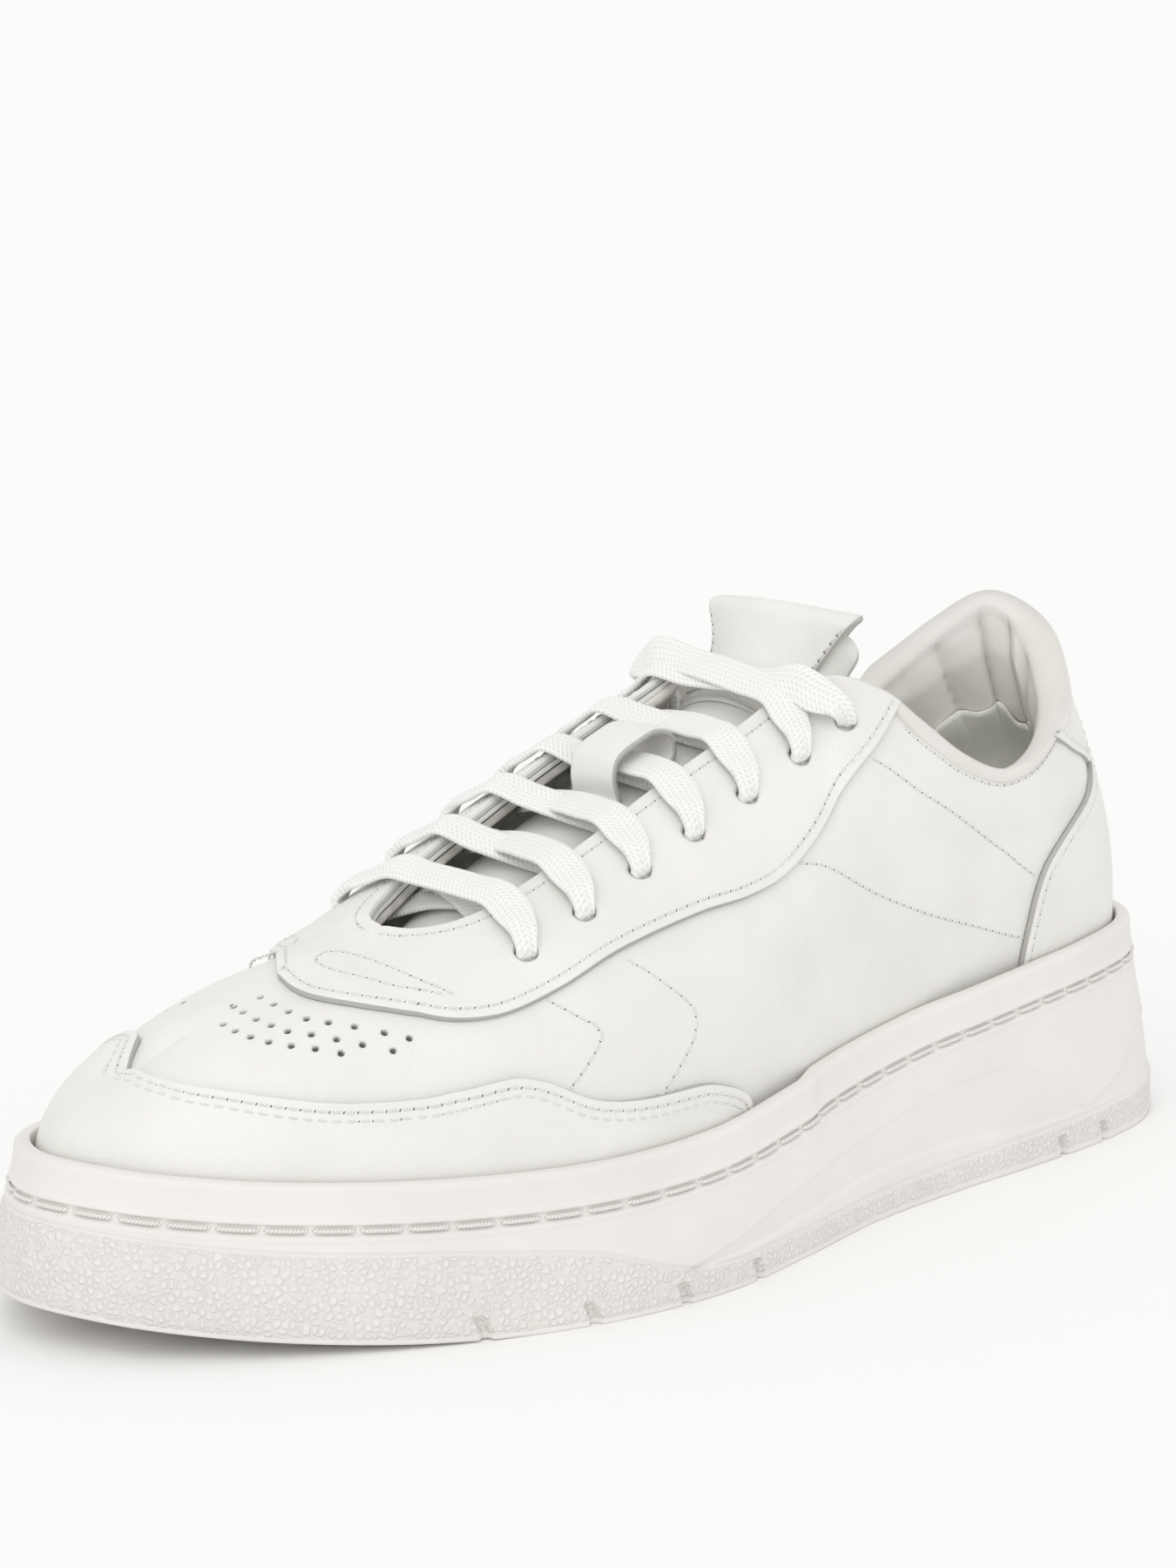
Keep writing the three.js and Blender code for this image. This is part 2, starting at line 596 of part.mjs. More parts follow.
// ---------------------------------------------------------------- upper pieces
const whole = [[0, footRow], [1, footRow], [1, 1], [0, 1]];
addMesh('shell_leather', punched(sheet(both(whole), 0, -leather)), whiteLeather);
addMesh('toe_cap', sheet(both(below(toeCapLine, overlayFoot)), overlayFace, seam), whiteLeather);
addMesh('eyestay', punched(sheet(both(above(eyestayLine)), overlayFace, seam)), whiteLeather);
addMesh('heel_counter', sheet(both([...counterLine, [0, overlayFoot]]), overlayFace, seam), whiteLeather);
addMesh('heel_tab', sheet(both([[0, 0.74], [0.04, 0.725], [0.084, 0.705], ...tabLine.slice(1), [0, 1]]),
  overlayFace, seam), whiteLeather);
addMesh('counter_stiffener', sheet(both([[0, footRow], [0.3, footRow], [0.285, 0.2], [0.24, 0.36],
  [0.16, 0.46], [0, 0.5]]), layer1, layer1In), board);
addMesh('toe_puff', sheet(both([[0.8, footRow], [1, footRow], [1, 0.8], [0.9, 0.55], [0.83, 0.25]]),
  layer1, layer1In), board);
addMesh('collar_foam', sheet(both([[0, 0.52], [0.2, 0.52], [0.4, 0.62], [0.452, 0.72], [0.455, 0.985],
  [0, 0.985]]), layer1, (p, v) => layer1 - padDepth(p, v)), foam);
const facingStrip = [[0.482, 0.76], [0.56, 0.74], [0.75, 0.72], [0.745, 0.985], [0.482, 0.985]];
addMesh('facing_reinforcement_outer', punched(sheet({ outer: facingStrip }, layer1, layer1In)), textile);
addMesh('facing_reinforcement_inner', punched(sheet({ inner: facingStrip }, layer1, layer1In)), textile);
addMesh('collar_lining', punched(sheet(both([[0, 0.3], [0.2, 0.3], [0.4, 0.35], [liningSplit - 0.004, 0.4],
  [liningSplit - 0.004, 1], [0, 1]]), liningOuter, liningInner)), greyLining);
addMesh('quarter_lining', sheet(both([[0, footRow], [liningSplit - 0.004, footRow],
  [liningSplit - 0.004, 0.388], [0.4, 0.338], [0.2, 0.288], [0, 0.288]]), liningOuter, liningInner), textile);
addMesh('vamp_lining', punched(sheet(both([[liningSplit, footRow], [1, footRow], [1, 1], [liningSplit, 1]]),
  liningOuter, liningInner)), textile);
addMesh('heel_grip', sheet(both([[0, 0.05], [0.17, 0.05], [0.19, 0.3], [0.15, 0.42], [0.1, 0.4], [0.05, 0.46],
  [0, 0.44]]), (p, v) => liningInner(p, v) - seam, (p, v) => liningInner(p, v) - seam - gripThickness),
  greyLining);

// ---------------------------------------------------------------- tongue
// Rows: p, half width, arch, depth of the face under the facing's outer face.
const facingDepth = -layer2In;                // thickness of the facing under the shell face
const tongueDepth = facingDepth + 2 * seam + laceThickness + 2.2;
const tongueRows = [[0.5, 17, 0.018], [0.56, 17.5, 0.0165], [0.6, 21, 0.014], [0.7, 21, 0.0155],
  [0.77, 15, 0.018], [0.81, 11, 0.018]];
// Beyond the facings the tongue bends up: its length there, the turn in degrees, its half width at the tip.
const tongueTip = { reach: 19, turn: 38, halfWidth: 27 };
const tongueStations = [0, 0.06, 0.14, 0.22, 0.3, 0.38, 0.46, 0.54, 0.62, 0.7, 0.78, 0.86, 0.93, 1, 1.14, 1.3,
  1.48, 1.66, 1.84, 1.93, 2];
const tongueWidths = [-1, -0.93, -0.7, -0.35, 0, 0.35, 0.7, 0.93, 1];

// s is 0 at the root under the vamp, 1 where the facings end and 2 at the tip.
function tonguePoint(s, t, offset) {
  const p = THREE.MathUtils.lerp(0.805, 0.5, Math.min(s, 1));
  const mid = (q) => upperPoint(q, 1, 1).add(upperPoint(q, 1, -1)).multiplyScalar(0.5);
  const along = mid(p - 0.012).sub(mid(p + 0.012)).setY(0).normalize();
  let up = new THREE.Vector3(along.z, 0, -along.x);
  let [halfWidth, arch] = smooth(tongueRows, p);
  const edgeY = p > ridgeStart ? 0 : Math.abs(upperPoint(p, 1, 1).y - upperPoint(p, 1, -1).y) / 2;
  const centre = mid(p).addScaledVector(up, -(tongueDepth - arch * edgeY * edgeY));
  if (s > 1) {
    const turn = THREE.MathUtils.degToRad(tongueTip.turn);
    const radius = tongueTip.reach / turn;
    const angle = turn * (s - 1);
    centre.addScaledVector(along, radius * Math.sin(angle)).addScaledVector(up, radius * (1 - Math.cos(angle)));
    up = up.clone().applyAxisAngle(new THREE.Vector3(0, 1, 0), angle);
    halfWidth = THREE.MathUtils.lerp(halfWidth, tongueTip.halfWidth, (s - 1) ** 2);
    arch *= 1 - 0.5 * (s - 1) ** 2;
  }
  const edges = upperPoint(p, 1, 1).sub(upperPoint(p, 1, -1));
  const tilt = p > ridgeStart ? 0 : edges.dot(up) / edges.y;
  const y = t * halfWidth;
  return centre.add(new THREE.Vector3(0, y, 0)).addScaledVector(up, offset + tilt * y - arch * y * y);
}

// A layer of the tongue between two stations and two widths.
function tongueSheet([s0, s1], width, outer, inner) {
  const stations = tongueStations.filter((s) => s >= s0 && s <= s1);
  const widths = tongueWidths.filter((t) => Math.abs(t) <= width);
  const skin = [];
  const tops = [];
  const bottoms = [];
  const n = widths.length;
  stations.forEach((s, i) => widths.forEach((t, j) => {
    tops.push(tonguePoint(s, t, outer));
    bottoms.push(tonguePoint(s, t, inner));
    if (i === stations.length - 1 || j === n - 1) return;
    const a = i * n + j;
    skin.push([a, a + 1, a + n + 1], [a, a + n + 1, a + n]);
  }));
  return thicken(skin, tops, bottoms);
}
const foamTop = -tongueFace - seam;
const tongueBack = foamTop - tonguePad - seam;
addMesh('tongue_leather', tongueSheet([0, 2], 1, 0, -tongueFace), whiteLeather);
addMesh('tongue_foam', tongueSheet([0.14, 1.93], 0.95, foamTop, foamTop - tonguePad), foam);
addMesh('tongue_lining', tongueSheet([0.06, 2], 1, tongueBack, tongueBack - lining), textile);
addMesh('tongue_label', tongueSheet([0.93, 1.93], 0.95, seam + labelThickness, seam), whiteLeather);

// A band across the middle of the tongue that holds the laces down: its side view as [s, height] rows.
const keeperWidth = 12;
const keeperLine = [[0.62, 0.9], [0.636, 1.2], [0.646, 6.4], [0.663, 9.5], [0.715, 10.1], [0.75, 9.3], [0.772, 6.4],
  [0.768, 2.2], [0.75, 1]];
function keeperBand() {
  const places = keeperLine.map(([s, height]) => tonguePoint(s, 0, height));
  const skin = [];
  const tops = [];
  const bottoms = [];
  const steps = [-0.5, 0, 0.5];
  places.forEach((place, i) => {
    const before = places[Math.max(i - 1, 0)];
    const after = places[Math.min(i + 1, places.length - 1)];
    const away = new THREE.Vector3(0, 1, 0).cross(after.clone().sub(before)).normalize();
    steps.forEach((w, j) => {
      const drop = tongueRows[2][2] * (w * keeperWidth) ** 2;
      const at = place.clone().add(new THREE.Vector3(0, w * keeperWidth, -drop));
      tops.push(at.clone().addScaledVector(away, keeperThickness / 2));
      bottoms.push(at.clone().addScaledVector(away, -keeperThickness / 2));
      if (i === places.length - 1 || j === steps.length - 1) return;
      const a = i * steps.length + j;
      skin.push([a, a + 1, a + 4], [a, a + 4, a + 3]);
    });
  });
  return thicken(skin, tops, bottoms);
}
addMesh('lace_keeper', keeperBand(), whiteLeather);

// ---------------------------------------------------------------- lace
// One flat lace. Its route is the list of eyelets it passes, from one tucked end to the other.
const laceOver = overlayFace + seam + laceThickness / 2 + 0.35;
const laceUnder = -facingDepth - seam - laceThickness / 2 - 0.35;
// place of the tucked end inside the shell: [p, v, offset], from the eyelet to the aglet
const tail = [[0.487, 0.85, -6.2], [0.5, 0.77, -6.6], [0.512, 0.67, -6.8], [0.53, 0.56, -7.2], [0.558, 0.46, -7.8],
  [0.595, 0.38, -8.8], [0.635, 0.32, -10.5]];
// eyelet number and side, in order; `in` and `out` say on which face of the upper the lace leaves it
const laceStops = [
  { n: 1, side: 1, leaves: 'out' }, { n: 2, side: -1, leaves: 'in', cross: -0.6 },
  { n: 3, side: 1, leaves: 'in', cross: 1.5 }, { n: 4, side: -1, leaves: 'in', cross: -0.4 },
  { n: 5, side: 1, leaves: 'in', cross: 1.5 }, { n: 6, side: -1, leaves: 'in', cross: -0.4 },
  { n: 7, side: 1, leaves: 'out', cross: 4.2 }, { n: 7, side: -1, leaves: 'in', cross: 0.4 },
  { n: 6, side: 1, leaves: 'out', cross: 2.2 }, { n: 5, side: -1, leaves: 'out', cross: 1.5 },
  { n: 4, side: 1, leaves: 'out', cross: -0.4 }, { n: 3, side: -1, leaves: 'out', cross: 1.5 },
  { n: 2, side: 1, leaves: 'out', cross: -0.4 }, { n: 1, side: -1, leaves: 'in', cross: 1.5 },
];

function laceStations() {
  const stations = [];
  const add = (point, normal, width, thickness, wide) => stations.push({ point, normal, width, thickness, wide });
  const onShell = (side, p, v, offset) => upperPoint(p, v, side).addScaledVector(upperNormal(p, v, side), offset);
  const flat = (side, p, v, offset, fill = 1) => add(onShell(side, p, v, offset), upperNormal(p, v, side),
    THREE.MathUtils.lerp(laceBunched[0], laceWidth, fill),
    THREE.MathUtils.lerp(laceBunched[1], laceThickness, fill));
  const hole = (stop) => {
    const [p, v] = eyelets[stop.n - 1];
    const wide = upperPoint(p - 0.01, v, stop.side).sub(upperPoint(p + 0.01, v, stop.side)).normalize();
    const depths = [-4.3, -1, 2.3];
    if (stop.leaves === 'in') depths.reverse();
    for (const d of depths) add(onShell(stop.side, p, v, d), null, ...laceBunched, wide);
  };
  // where a link crosses the edge of the facing
  const edgeAt = (stop, other, face) => {
    const p = eyelets[stop.n - 1][0];
    if (face === 'out') return stop.n === 1 ? p + 0.022 : p - 0.004;
    return (p + (eyelets[Math.min(stop.n, eyelets.length - 1)][0])) / 2 - (stop.n === other.n ? 0.004 : 0);
  };
  const approach = (stop, other, face, fromHole) => {
    const [p, v] = eyelets[stop.n - 1];
    const edgeP = edgeAt(stop, other, face);
    const offset = face === 'out' ? laceOver + (stop.n === 1 ? 1.9 : 0.35) : laceUnder;
    const steps = [[0.22, 0.35], [0.6, 1], [1, 1]];
    if (!fromHole) steps.reverse();
    for (const [t, fill] of steps) {
      const bend = t < 0.3 ? 0.4 * Math.sign(offset) : 0;
      flat(stop.side, THREE.MathUtils.lerp(p, edgeP, t), THREE.MathUtils.lerp(v, 1, t), offset + bend, fill);
    }
  };
  const span = (from, to, lift) => {
    const a = stations[stations.length - 1].point;
    const b = onShell(to.side, edgeAt(to, from.stop, to.face), 1, to.face === 'out' ? laceOver : laceUnder);
    const middle = (from.p + to.p) / 2;
    const up = upperPoint(middle - 0.02, 1, 1).sub(upperPoint(middle + 0.02, 1, 1)).setY(0).normalize();
    const normal = new THREE.Vector3(up.z, 0, -up.x);
    for (const t of [0.25, 0.5, 0.75]) {
      add(a.clone().lerp(b, t).addScaledVector(normal, lift * 4 * t * (1 - t)), normal, laceWidth, laceThickness);
    }
  };
  const tuck = (side, places) => places.forEach(([p, v, offset]) => flat(side, p, v, offset, 0.5));

  tuck(1, [...tail].reverse());
  laceStops.forEach((stop, i) => {
    hole(stop);
    const next = laceStops[i + 1];
    if (!next) return;
    const face = stop.leaves;
    const nextFace = next.leaves === 'in' ? 'out' : 'in';
    const from = { stop, side: stop.side, p: eyelets[stop.n - 1][0], face };
    const to = { n: next.n, side: next.side, p: eyelets[next.n - 1][0], face: nextFace };
    approach(stop, next, face, true);
    span(from, to, next.cross);
    approach(next, stop, nextFace, false);
  });
  tuck(-1, tail);
  return stations;
}

function laceBody(stations) {
  const facets = new Facets();
  let wideBefore = new THREE.Vector3(-0.9, 0, 0.4);
  const rings = stations.map((s, i) => {
    const before = stations[Math.max(i - 1, 0)].point;
    const after = stations[Math.min(i + 1, stations.length - 1)].point;
    const along = after.clone().sub(before).normalize();
    const wide = (s.wide ?? s.normal.clone().cross(along)).clone();
    wide.addScaledVector(along, -wide.dot(along)).normalize();
    if (wide.dot(wideBefore) < 0) wide.negate();
    wideBefore = wide;
    const thick = along.clone().cross(wide);
    const w = s.width / 2;
    const h = s.thickness / 2;
    return [[-w, 0], [0.8 * h - w, h], [w - 0.8 * h, h], [w, 0], [w - 0.8 * h, -h], [0.8 * h - w, -h]].map(([a, b]) =>
      facets.points.push(s.point.clone().addScaledVector(wide, a).addScaledVector(thick, b)) - 1);
  });
  rings.slice(1).forEach((ring, i) => ring.forEach((corner, k) => {
    const n = (k + 1) % ring.length;
    facets.quad(rings[i][k], rings[i][n], ring[n], corner);
  }));
  const first = rings[0];
  const last = rings[rings.length - 1];
  for (let k = 1; k < first.length - 1; k++) {
    facets.face(first[0], first[k + 1], first[k]);
    facets.face(last[0], last[k], last[k + 1]);
  }
  return facets.geometry();
}

const stations = laceStations();
addMesh('lace', laceBody(stations), laceCotton);

function addAglet(name, end, before) {
  const along = end.clone().sub(before).normalize();
  const body = new THREE.CylinderGeometry(aglet.diameter / 2, aglet.diameter / 2, aglet.length, 10);
  body.applyQuaternion(new THREE.Quaternion().setFromUnitVectors(new THREE.Vector3(0, 1, 0), along));
  const at = end.clone().addScaledVector(along, aglet.length / 2 + seam);
  body.translate(at.x, at.y, at.z);
  body.deleteAttribute('normal');
  body.deleteAttribute('uv');
  addMesh(name, mergeVertices(body, 1e-4), plastic);
}
addAglet('aglet_outer', stations[0].point, stations[1].point);
addAglet('aglet_inner', stations[stations.length - 1].point, stations[stations.length - 2].point);

// The origin goes under the middle of the shoe's own box.
const size = new THREE.Box3().setFromObject(object);
const centre = size.getCenter(new THREE.Vector3());
object.position.set(-centre.x, -centre.y, -size.min.z);

export default object;
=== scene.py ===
import math
import bpy
import numpy as np
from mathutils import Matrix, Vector


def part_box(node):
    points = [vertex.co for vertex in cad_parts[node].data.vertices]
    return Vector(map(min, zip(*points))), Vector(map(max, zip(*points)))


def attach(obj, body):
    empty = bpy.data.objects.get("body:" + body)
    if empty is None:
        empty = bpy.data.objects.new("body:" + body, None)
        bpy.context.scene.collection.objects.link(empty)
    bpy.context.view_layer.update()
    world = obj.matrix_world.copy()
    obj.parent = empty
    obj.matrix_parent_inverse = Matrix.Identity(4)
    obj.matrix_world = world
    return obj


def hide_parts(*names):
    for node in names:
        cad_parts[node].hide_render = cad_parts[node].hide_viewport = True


# A low-top leather court shoe, left foot. Millimetres here, metres in the frame.
# +X points to the toe and +Y to the outer side of the foot.
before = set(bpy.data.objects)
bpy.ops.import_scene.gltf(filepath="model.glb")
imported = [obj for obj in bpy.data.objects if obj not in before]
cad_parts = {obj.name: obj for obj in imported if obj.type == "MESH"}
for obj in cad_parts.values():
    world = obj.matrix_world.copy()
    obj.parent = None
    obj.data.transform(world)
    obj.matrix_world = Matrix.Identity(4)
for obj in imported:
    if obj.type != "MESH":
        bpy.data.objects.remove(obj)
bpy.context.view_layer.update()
mm = 0.001
print("frame loaded")


# Cubic through chosen rows of key, value, value ..., read at any keys.
def smoothRows(rows):
    table = np.array(rows, float)
    x, y = table[:, 0], table[:, 1:]
    h = np.diff(x)
    slope = np.diff(y, axis=0) / h[:, None]
    tangent = np.empty_like(y)
    tangent[0], tangent[-1] = slope[0], slope[-1]
    tangent[1:-1] = (slope[:-1] * h[1:, None] + slope[1:] * h[:-1, None]) / (h[:-1] + h[1:])[:, None]

    def read(key):
        key = np.clip(np.asarray(key, float), x[0], x[-1])
        i = np.clip(np.searchsorted(x, key, side="right") - 1, 0, len(h) - 1)
        t = ((key - x[i]) / h[i])[..., None]
        w = h[i][..., None]
        return ((2 * t**3 - 3 * t**2 + 1) * y[i] + (t**3 - 2 * t**2 + t) * w * tangent[i]
                + (3 * t**2 - 2 * t**3) * y[i + 1] + (t**3 - t**2) * w * tangent[i + 1])
    return read


def smoothStep(low, high, x):
    t = np.clip((np.asarray(x, float) - low) / (high - low), 0, 1)
    return t * t * (3 - 2 * t)


def unit(v):
    return v / np.maximum(np.linalg.norm(v, axis=-1, keepdims=True), 1e-12)


def stack(*parts):
    return np.stack(np.broadcast_arrays(*parts), axis=-1)


# The same last as the frame's solids: sole outline, rim, board and the rows of the upper.
last = {
    "outerSide": [[-152.5, -3], [-150.5, 8], [-145, 17.5], [-132, 27.5], [-112, 33.5], [-86, 36.5],
                  [-58, 38.5], [-29, 42], [0, 49.5], [28, 55.5], [56, 54.5], [85, 46], [110, 34],
                  [130, 21], [144, 7], [151, -12]],
    "innerSide": [[-152.5, -3], [-150.5, -13], [-144, -22], [-130, -30], [-110, -34.5], [-84, -36],
                  [-56, -36], [-28, -37], [0, -40], [28, -45.5], [56, -51.5], [85, -55], [110, -52.5],
                  [130, -44], [144, -30], [151, -12]],
    "rim": [[-160, 46.5], [-120, 45.5], [-70, 42], [-20, 36.5], [30, 32], [80, 31], [120, 33], [160, 38]],
    "board": [[-160, 27], [-100, 26], [-40, 20.5], [30, 14.5], [80, 13.5], [120, 16.5], [160, 22]],
    "inset": [[0, 12.2], [0.1, 10.7], [0.3, 9.2], [0.6, 8.7], [0.8, 9.2], [1, 9.7]],
    "wallTuck": 6, "footRow": -0.3, "tuckRow": -0.15, "ridgeStart": 0.79,
    # place round the shoe, top edge x y z, lean and length of the low handle, high handle x y z
    "outerUpper": [
        [0.00, -123, -5, 115, 2.0, 30, -8, 1, -28], [0.04, -124, 2, 109, 2.0, 30, -8, 4, -26],
        [0.08, -120, 9.5, 100, 2.0, 28, -6, 6, -24], [0.12, -112, 17, 95.5, 2.0, 24, -4, 7, -20],
        [0.17, -102, 23.5, 91.5, 2.0, 22, -1, 7, -16], [0.22, -90, 28, 88, 2.0, 20, 0, 6, -14],
        [0.27, -78, 30, 87.5, 2.0, 18, 0, 5, -13], [0.33, -64, 31, 93, 2.5, 18, 0, 5, -16],
        [0.39, -51, 30.5, 102, 3.0, 20, 0, 6, -22], [0.44, -41, 28, 109.5, 3.5, 22, 0, 9, -26],
        [0.48, -33, 22, 112, 4.0, 24, 0, 16, -26], [0.51, -28, 15.5, 108.5, 5.0, 26, 0, 24, -22],
        [0.56, -9, 14.5, 100, 5.0, 26, 0, 26, -14], [0.61, 12, 14.5, 91.5, 6.0, 24, 0, 26, -11],
        [0.66, 30, 14.5, 83.5, 6.5, 21, 0, 26, -9], [0.71, 47, 13.5, 76.5, 6.5, 18, 0, 26, -9],
        [0.745, 57, 11.6, 72.4, 6.0, 16, 3, 25.4, -7], [0.765, 63, 8.6, 70.7, 6.0, 16, 4.6, 26, -5.7],
        [0.78, 67, 4.2, 69.9, 6.0, 16, 6.4, 27.9, -5.2], [0.79, 69, -2.2, 69.6, 6.0, 16, 8.4, 32.4, -5],
        [0.793, 70, -2.3, 69.4, 6.0, 16, 8.5, 32.3, -4.9], [0.81, 75.5, -3.1, 68.3, 5.8, 16, 9.3, 30.6, -4.1],
        [0.83, 82, -4, 67, 5.5, 16, 10, 29, -3.4], [0.89, 98, -6, 62, 5.0, 14, 14, 22, -5],
        [0.95, 109, -8, 57.5, 4.5, 13, 18, 12, -6], [1.00, 115, -9, 54.5, 4.0, 12, 20, 0, -8]],
    "innerUpper": [
        [0.00, -123, -5, 115, 2.0, 30, -8, 1, -28], [0.04, -119, -12, 117, 2.0, 30, -8, -4, -28],
        [0.08, -112, -18.5, 111.5, 2.0, 28, -6, -6, -26], [0.12, -104, -25, 103.5, 2.0, 24, -4, -7, -22],
        [0.17, -95, -30, 96, 2.0, 22, -1, -7, -18], [0.22, -84, -32.5, 91, 2.0, 20, 0, -6, -14],
        [0.27, -74, -33, 89.5, 2.0, 18, 0, -5, -13], [0.33, -62, -33, 93, 2.5, 18, 0, -5, -16],
        [0.39, -50, -33, 102, 3.0, 20, 0, -6, -22], [0.44, -41, -31, 109.5, 3.5, 22, 0, -9, -26],
        [0.48, -33, -25, 113, 4.0, 24, 0, -16, -26], [0.51, -28, -19, 110, 5.0, 26, 0, -24, -22],
        [0.56, -9, -18, 102, 5.0, 26, 0, -26, -14], [0.61, 12, -18, 93.5, 6.0, 24, 0, -26, -11],
        [0.66, 30, -17.5, 85.5, 6.5, 21, 0, -26, -9], [0.71, 47, -16.5, 78, 6.5, 18, 0, -26, -9],
        [0.745, 57, -14.6, 73.2, 6.0, 16, 3, -25, -7], [0.765, 63, -12, 71.2, 6.0, 16, 4.6, -25.2, -5.8],
        [0.78, 67, -8, 70.2, 6.0, 16, 6.4, -27, -5.3], [0.79, 69, -2.2, 69.6, 6.0, 16, 8.4, -31.4, -5],
        [0.793, 70, -2.3, 69.4, 6.0, 16, 8.5, -31.3, -4.9], [0.81, 75.5, -3.1, 68.3, 5.8, 16, 9.2, -29.7, -4.1],
        [0.83, 82, -4, 67, 5.5, 16, 10, -28, -3.4], [0.89, 98, -6, 62, 5.0, 14, 14, -22, -5],
        [0.95, 109, -8, 57.5, 4.5, 13, 18, -12, -6], [1.00, 115, -9, 54.5, 4.0, 12, 20, 0, -8]],
    "solidColumns": [0, 0.04, 0.08, 0.125, 0.17, 0.23, 0.29, 0.35, 0.41, 0.45, 0.48, 0.51, 0.56, 0.62,
                     0.68, 0.73, 0.77, 0.82, 0.87, 0.92, 0.96, 1],
}
# the two sides run into one another behind the heel
outerUpper = smoothRows([[-0.04] + last["innerUpper"][1][1:]] + last["outerUpper"])
innerUpper = smoothRows([[-0.04] + last["outerUpper"][1][1:]] + last["innerUpper"])
rimRows = smoothRows(last["rim"])
boardRows = smoothRows(last["board"])
insetRows = smoothRows(last["inset"])


def makeOutline():
    loop = last["outerSide"] + last["innerSide"][1:-1][::-1]
    n = len(loop)
    rows, key = [], 0.0
    for i in range(-2, n + 3):
        here, before = loop[i % n], loop[(i - 1) % n]
        if i > -2:
            key += math.sqrt(math.hypot(here[0] - before[0], here[1] - before[1]))
        rows.append([key, *here])
    keys = np.linspace(rows[2][0], rows[n + 2][0], 1201)
    places = smoothRows(rows)(keys)
    steps = np.linalg.norm(np.diff(places, axis=0), axis=1)
    length = np.concatenate([[0], np.cumsum(steps)])
    tip = length[keys <= rows[len(last["outerSide"]) + 1][0]][-1]
    return length, places, tip


outlineLength, outlinePlaces, outlineTip = makeOutline()


def outlineAt(distance):
    s = np.mod(distance, outlineLength[-1])
    return np.interp(s, outlineLength, outlinePlaces[:, 0]), np.interp(s, outlineLength, outlinePlaces[:, 1])


# p runs from 0 at the back of the heel to 1 at the toe tip along one side, 1 outer and -1 inner.
def outline(p, side, reach=2.5):
    whole = outlineLength[-1]
    s = p * outlineTip if side > 0 else whole - p * (whole - outlineTip)
    x, y = outlineAt(s)
    x0, y0 = outlineAt(s - reach)
    x1, y1 = outlineAt(s + reach)
    size = np.hypot(x1 - x0, y1 - y0)
    return x, y, -(y1 - y0) / size, (x1 - x0) / size


# Places moved inwards from the outline by a distance in mm
def insetPlace(edge, inset):
    x, y, nx, ny = edge
    return np.stack([x - nx * inset, y - ny * inset], -1)


# The line half way between this side's edge and the other side, both moved inwards
def middleLine(edge, p, side, inset):
    return (insetPlace(edge, inset) + insetPlace(outline(p, -side), inset)) / 2


def rimZ(x):
    return rimRows(x)[..., 0]


def boardZ(x):
    return boardRows(x)[..., 0]


def upperInset(p):
    return insetRows(p)[..., 0]


def toeSpring(x):
    return (np.where(x > 70, 9 * ((x - 70) / 82) ** 2, 0)
            + np.where(x < -125, 2 * ((-125 - x) / 28) ** 2, 0))


# Where the script's millimetres sit in the frame: the sole's low corner is in both.
def findShift():
    edges = [outline(np.array(last["solidColumns"]), side, 0.8)[:2] for side in (1, -1)]
    lowX = min(x.min() for x, y in edges)
    lowY = min(y.min() for x, y in edges)
    low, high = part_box("cupsole")
    return np.array([low[0] / mm - lowX, low[1] / mm - lowY, low[2] / mm])


shift = findShift()
print("the last sits at", shift.round(3).tolist(), "mm in the frame")


def toFrame(points):
    return (np.asarray(points, float) + shift) * mm


# Outer face of the shell leather: v is 0 just under the rim of the sole and 1 on the top edge.
def upperPoint(p, v, side):
    p, v = np.broadcast_arrays(np.asarray(p, float), np.asarray(v, float))
    k = (outerUpper if side > 0 else innerUpper)(p)
    inset = upperInset(p)
    x, y, nx, ny = outline(p, side)
    base = stack(x - nx * inset, y - ny * inset, rimZ(x) - last["wallTuck"])
    lean = k[..., 3] / 20 * 0.35 * k[..., 4]
    low = base + stack(nx * lean, ny * lean, k[..., 4])
    top = k[..., 0:3]
    high = top + k[..., 5:8]
    w = np.maximum(v, 0)[..., None]
    u = 1 - w
    curve = base * u**3 + low * 3 * u * u * w + high * 3 * u * w * w + top * w**3
    t = np.clip(v / last["footRow"], 0, 1)
    foot = inset + 3 * t * t
    under = stack(x - nx * foot, y - ny * foot, base[..., 2] + (boardZ(x) - base[..., 2]) * t)
    return np.where((v < 0)[..., None], under, curve)


# The face is sampled once on a fine grid, eased over the ridge and given joined normals.
gridSize = (420, 150)


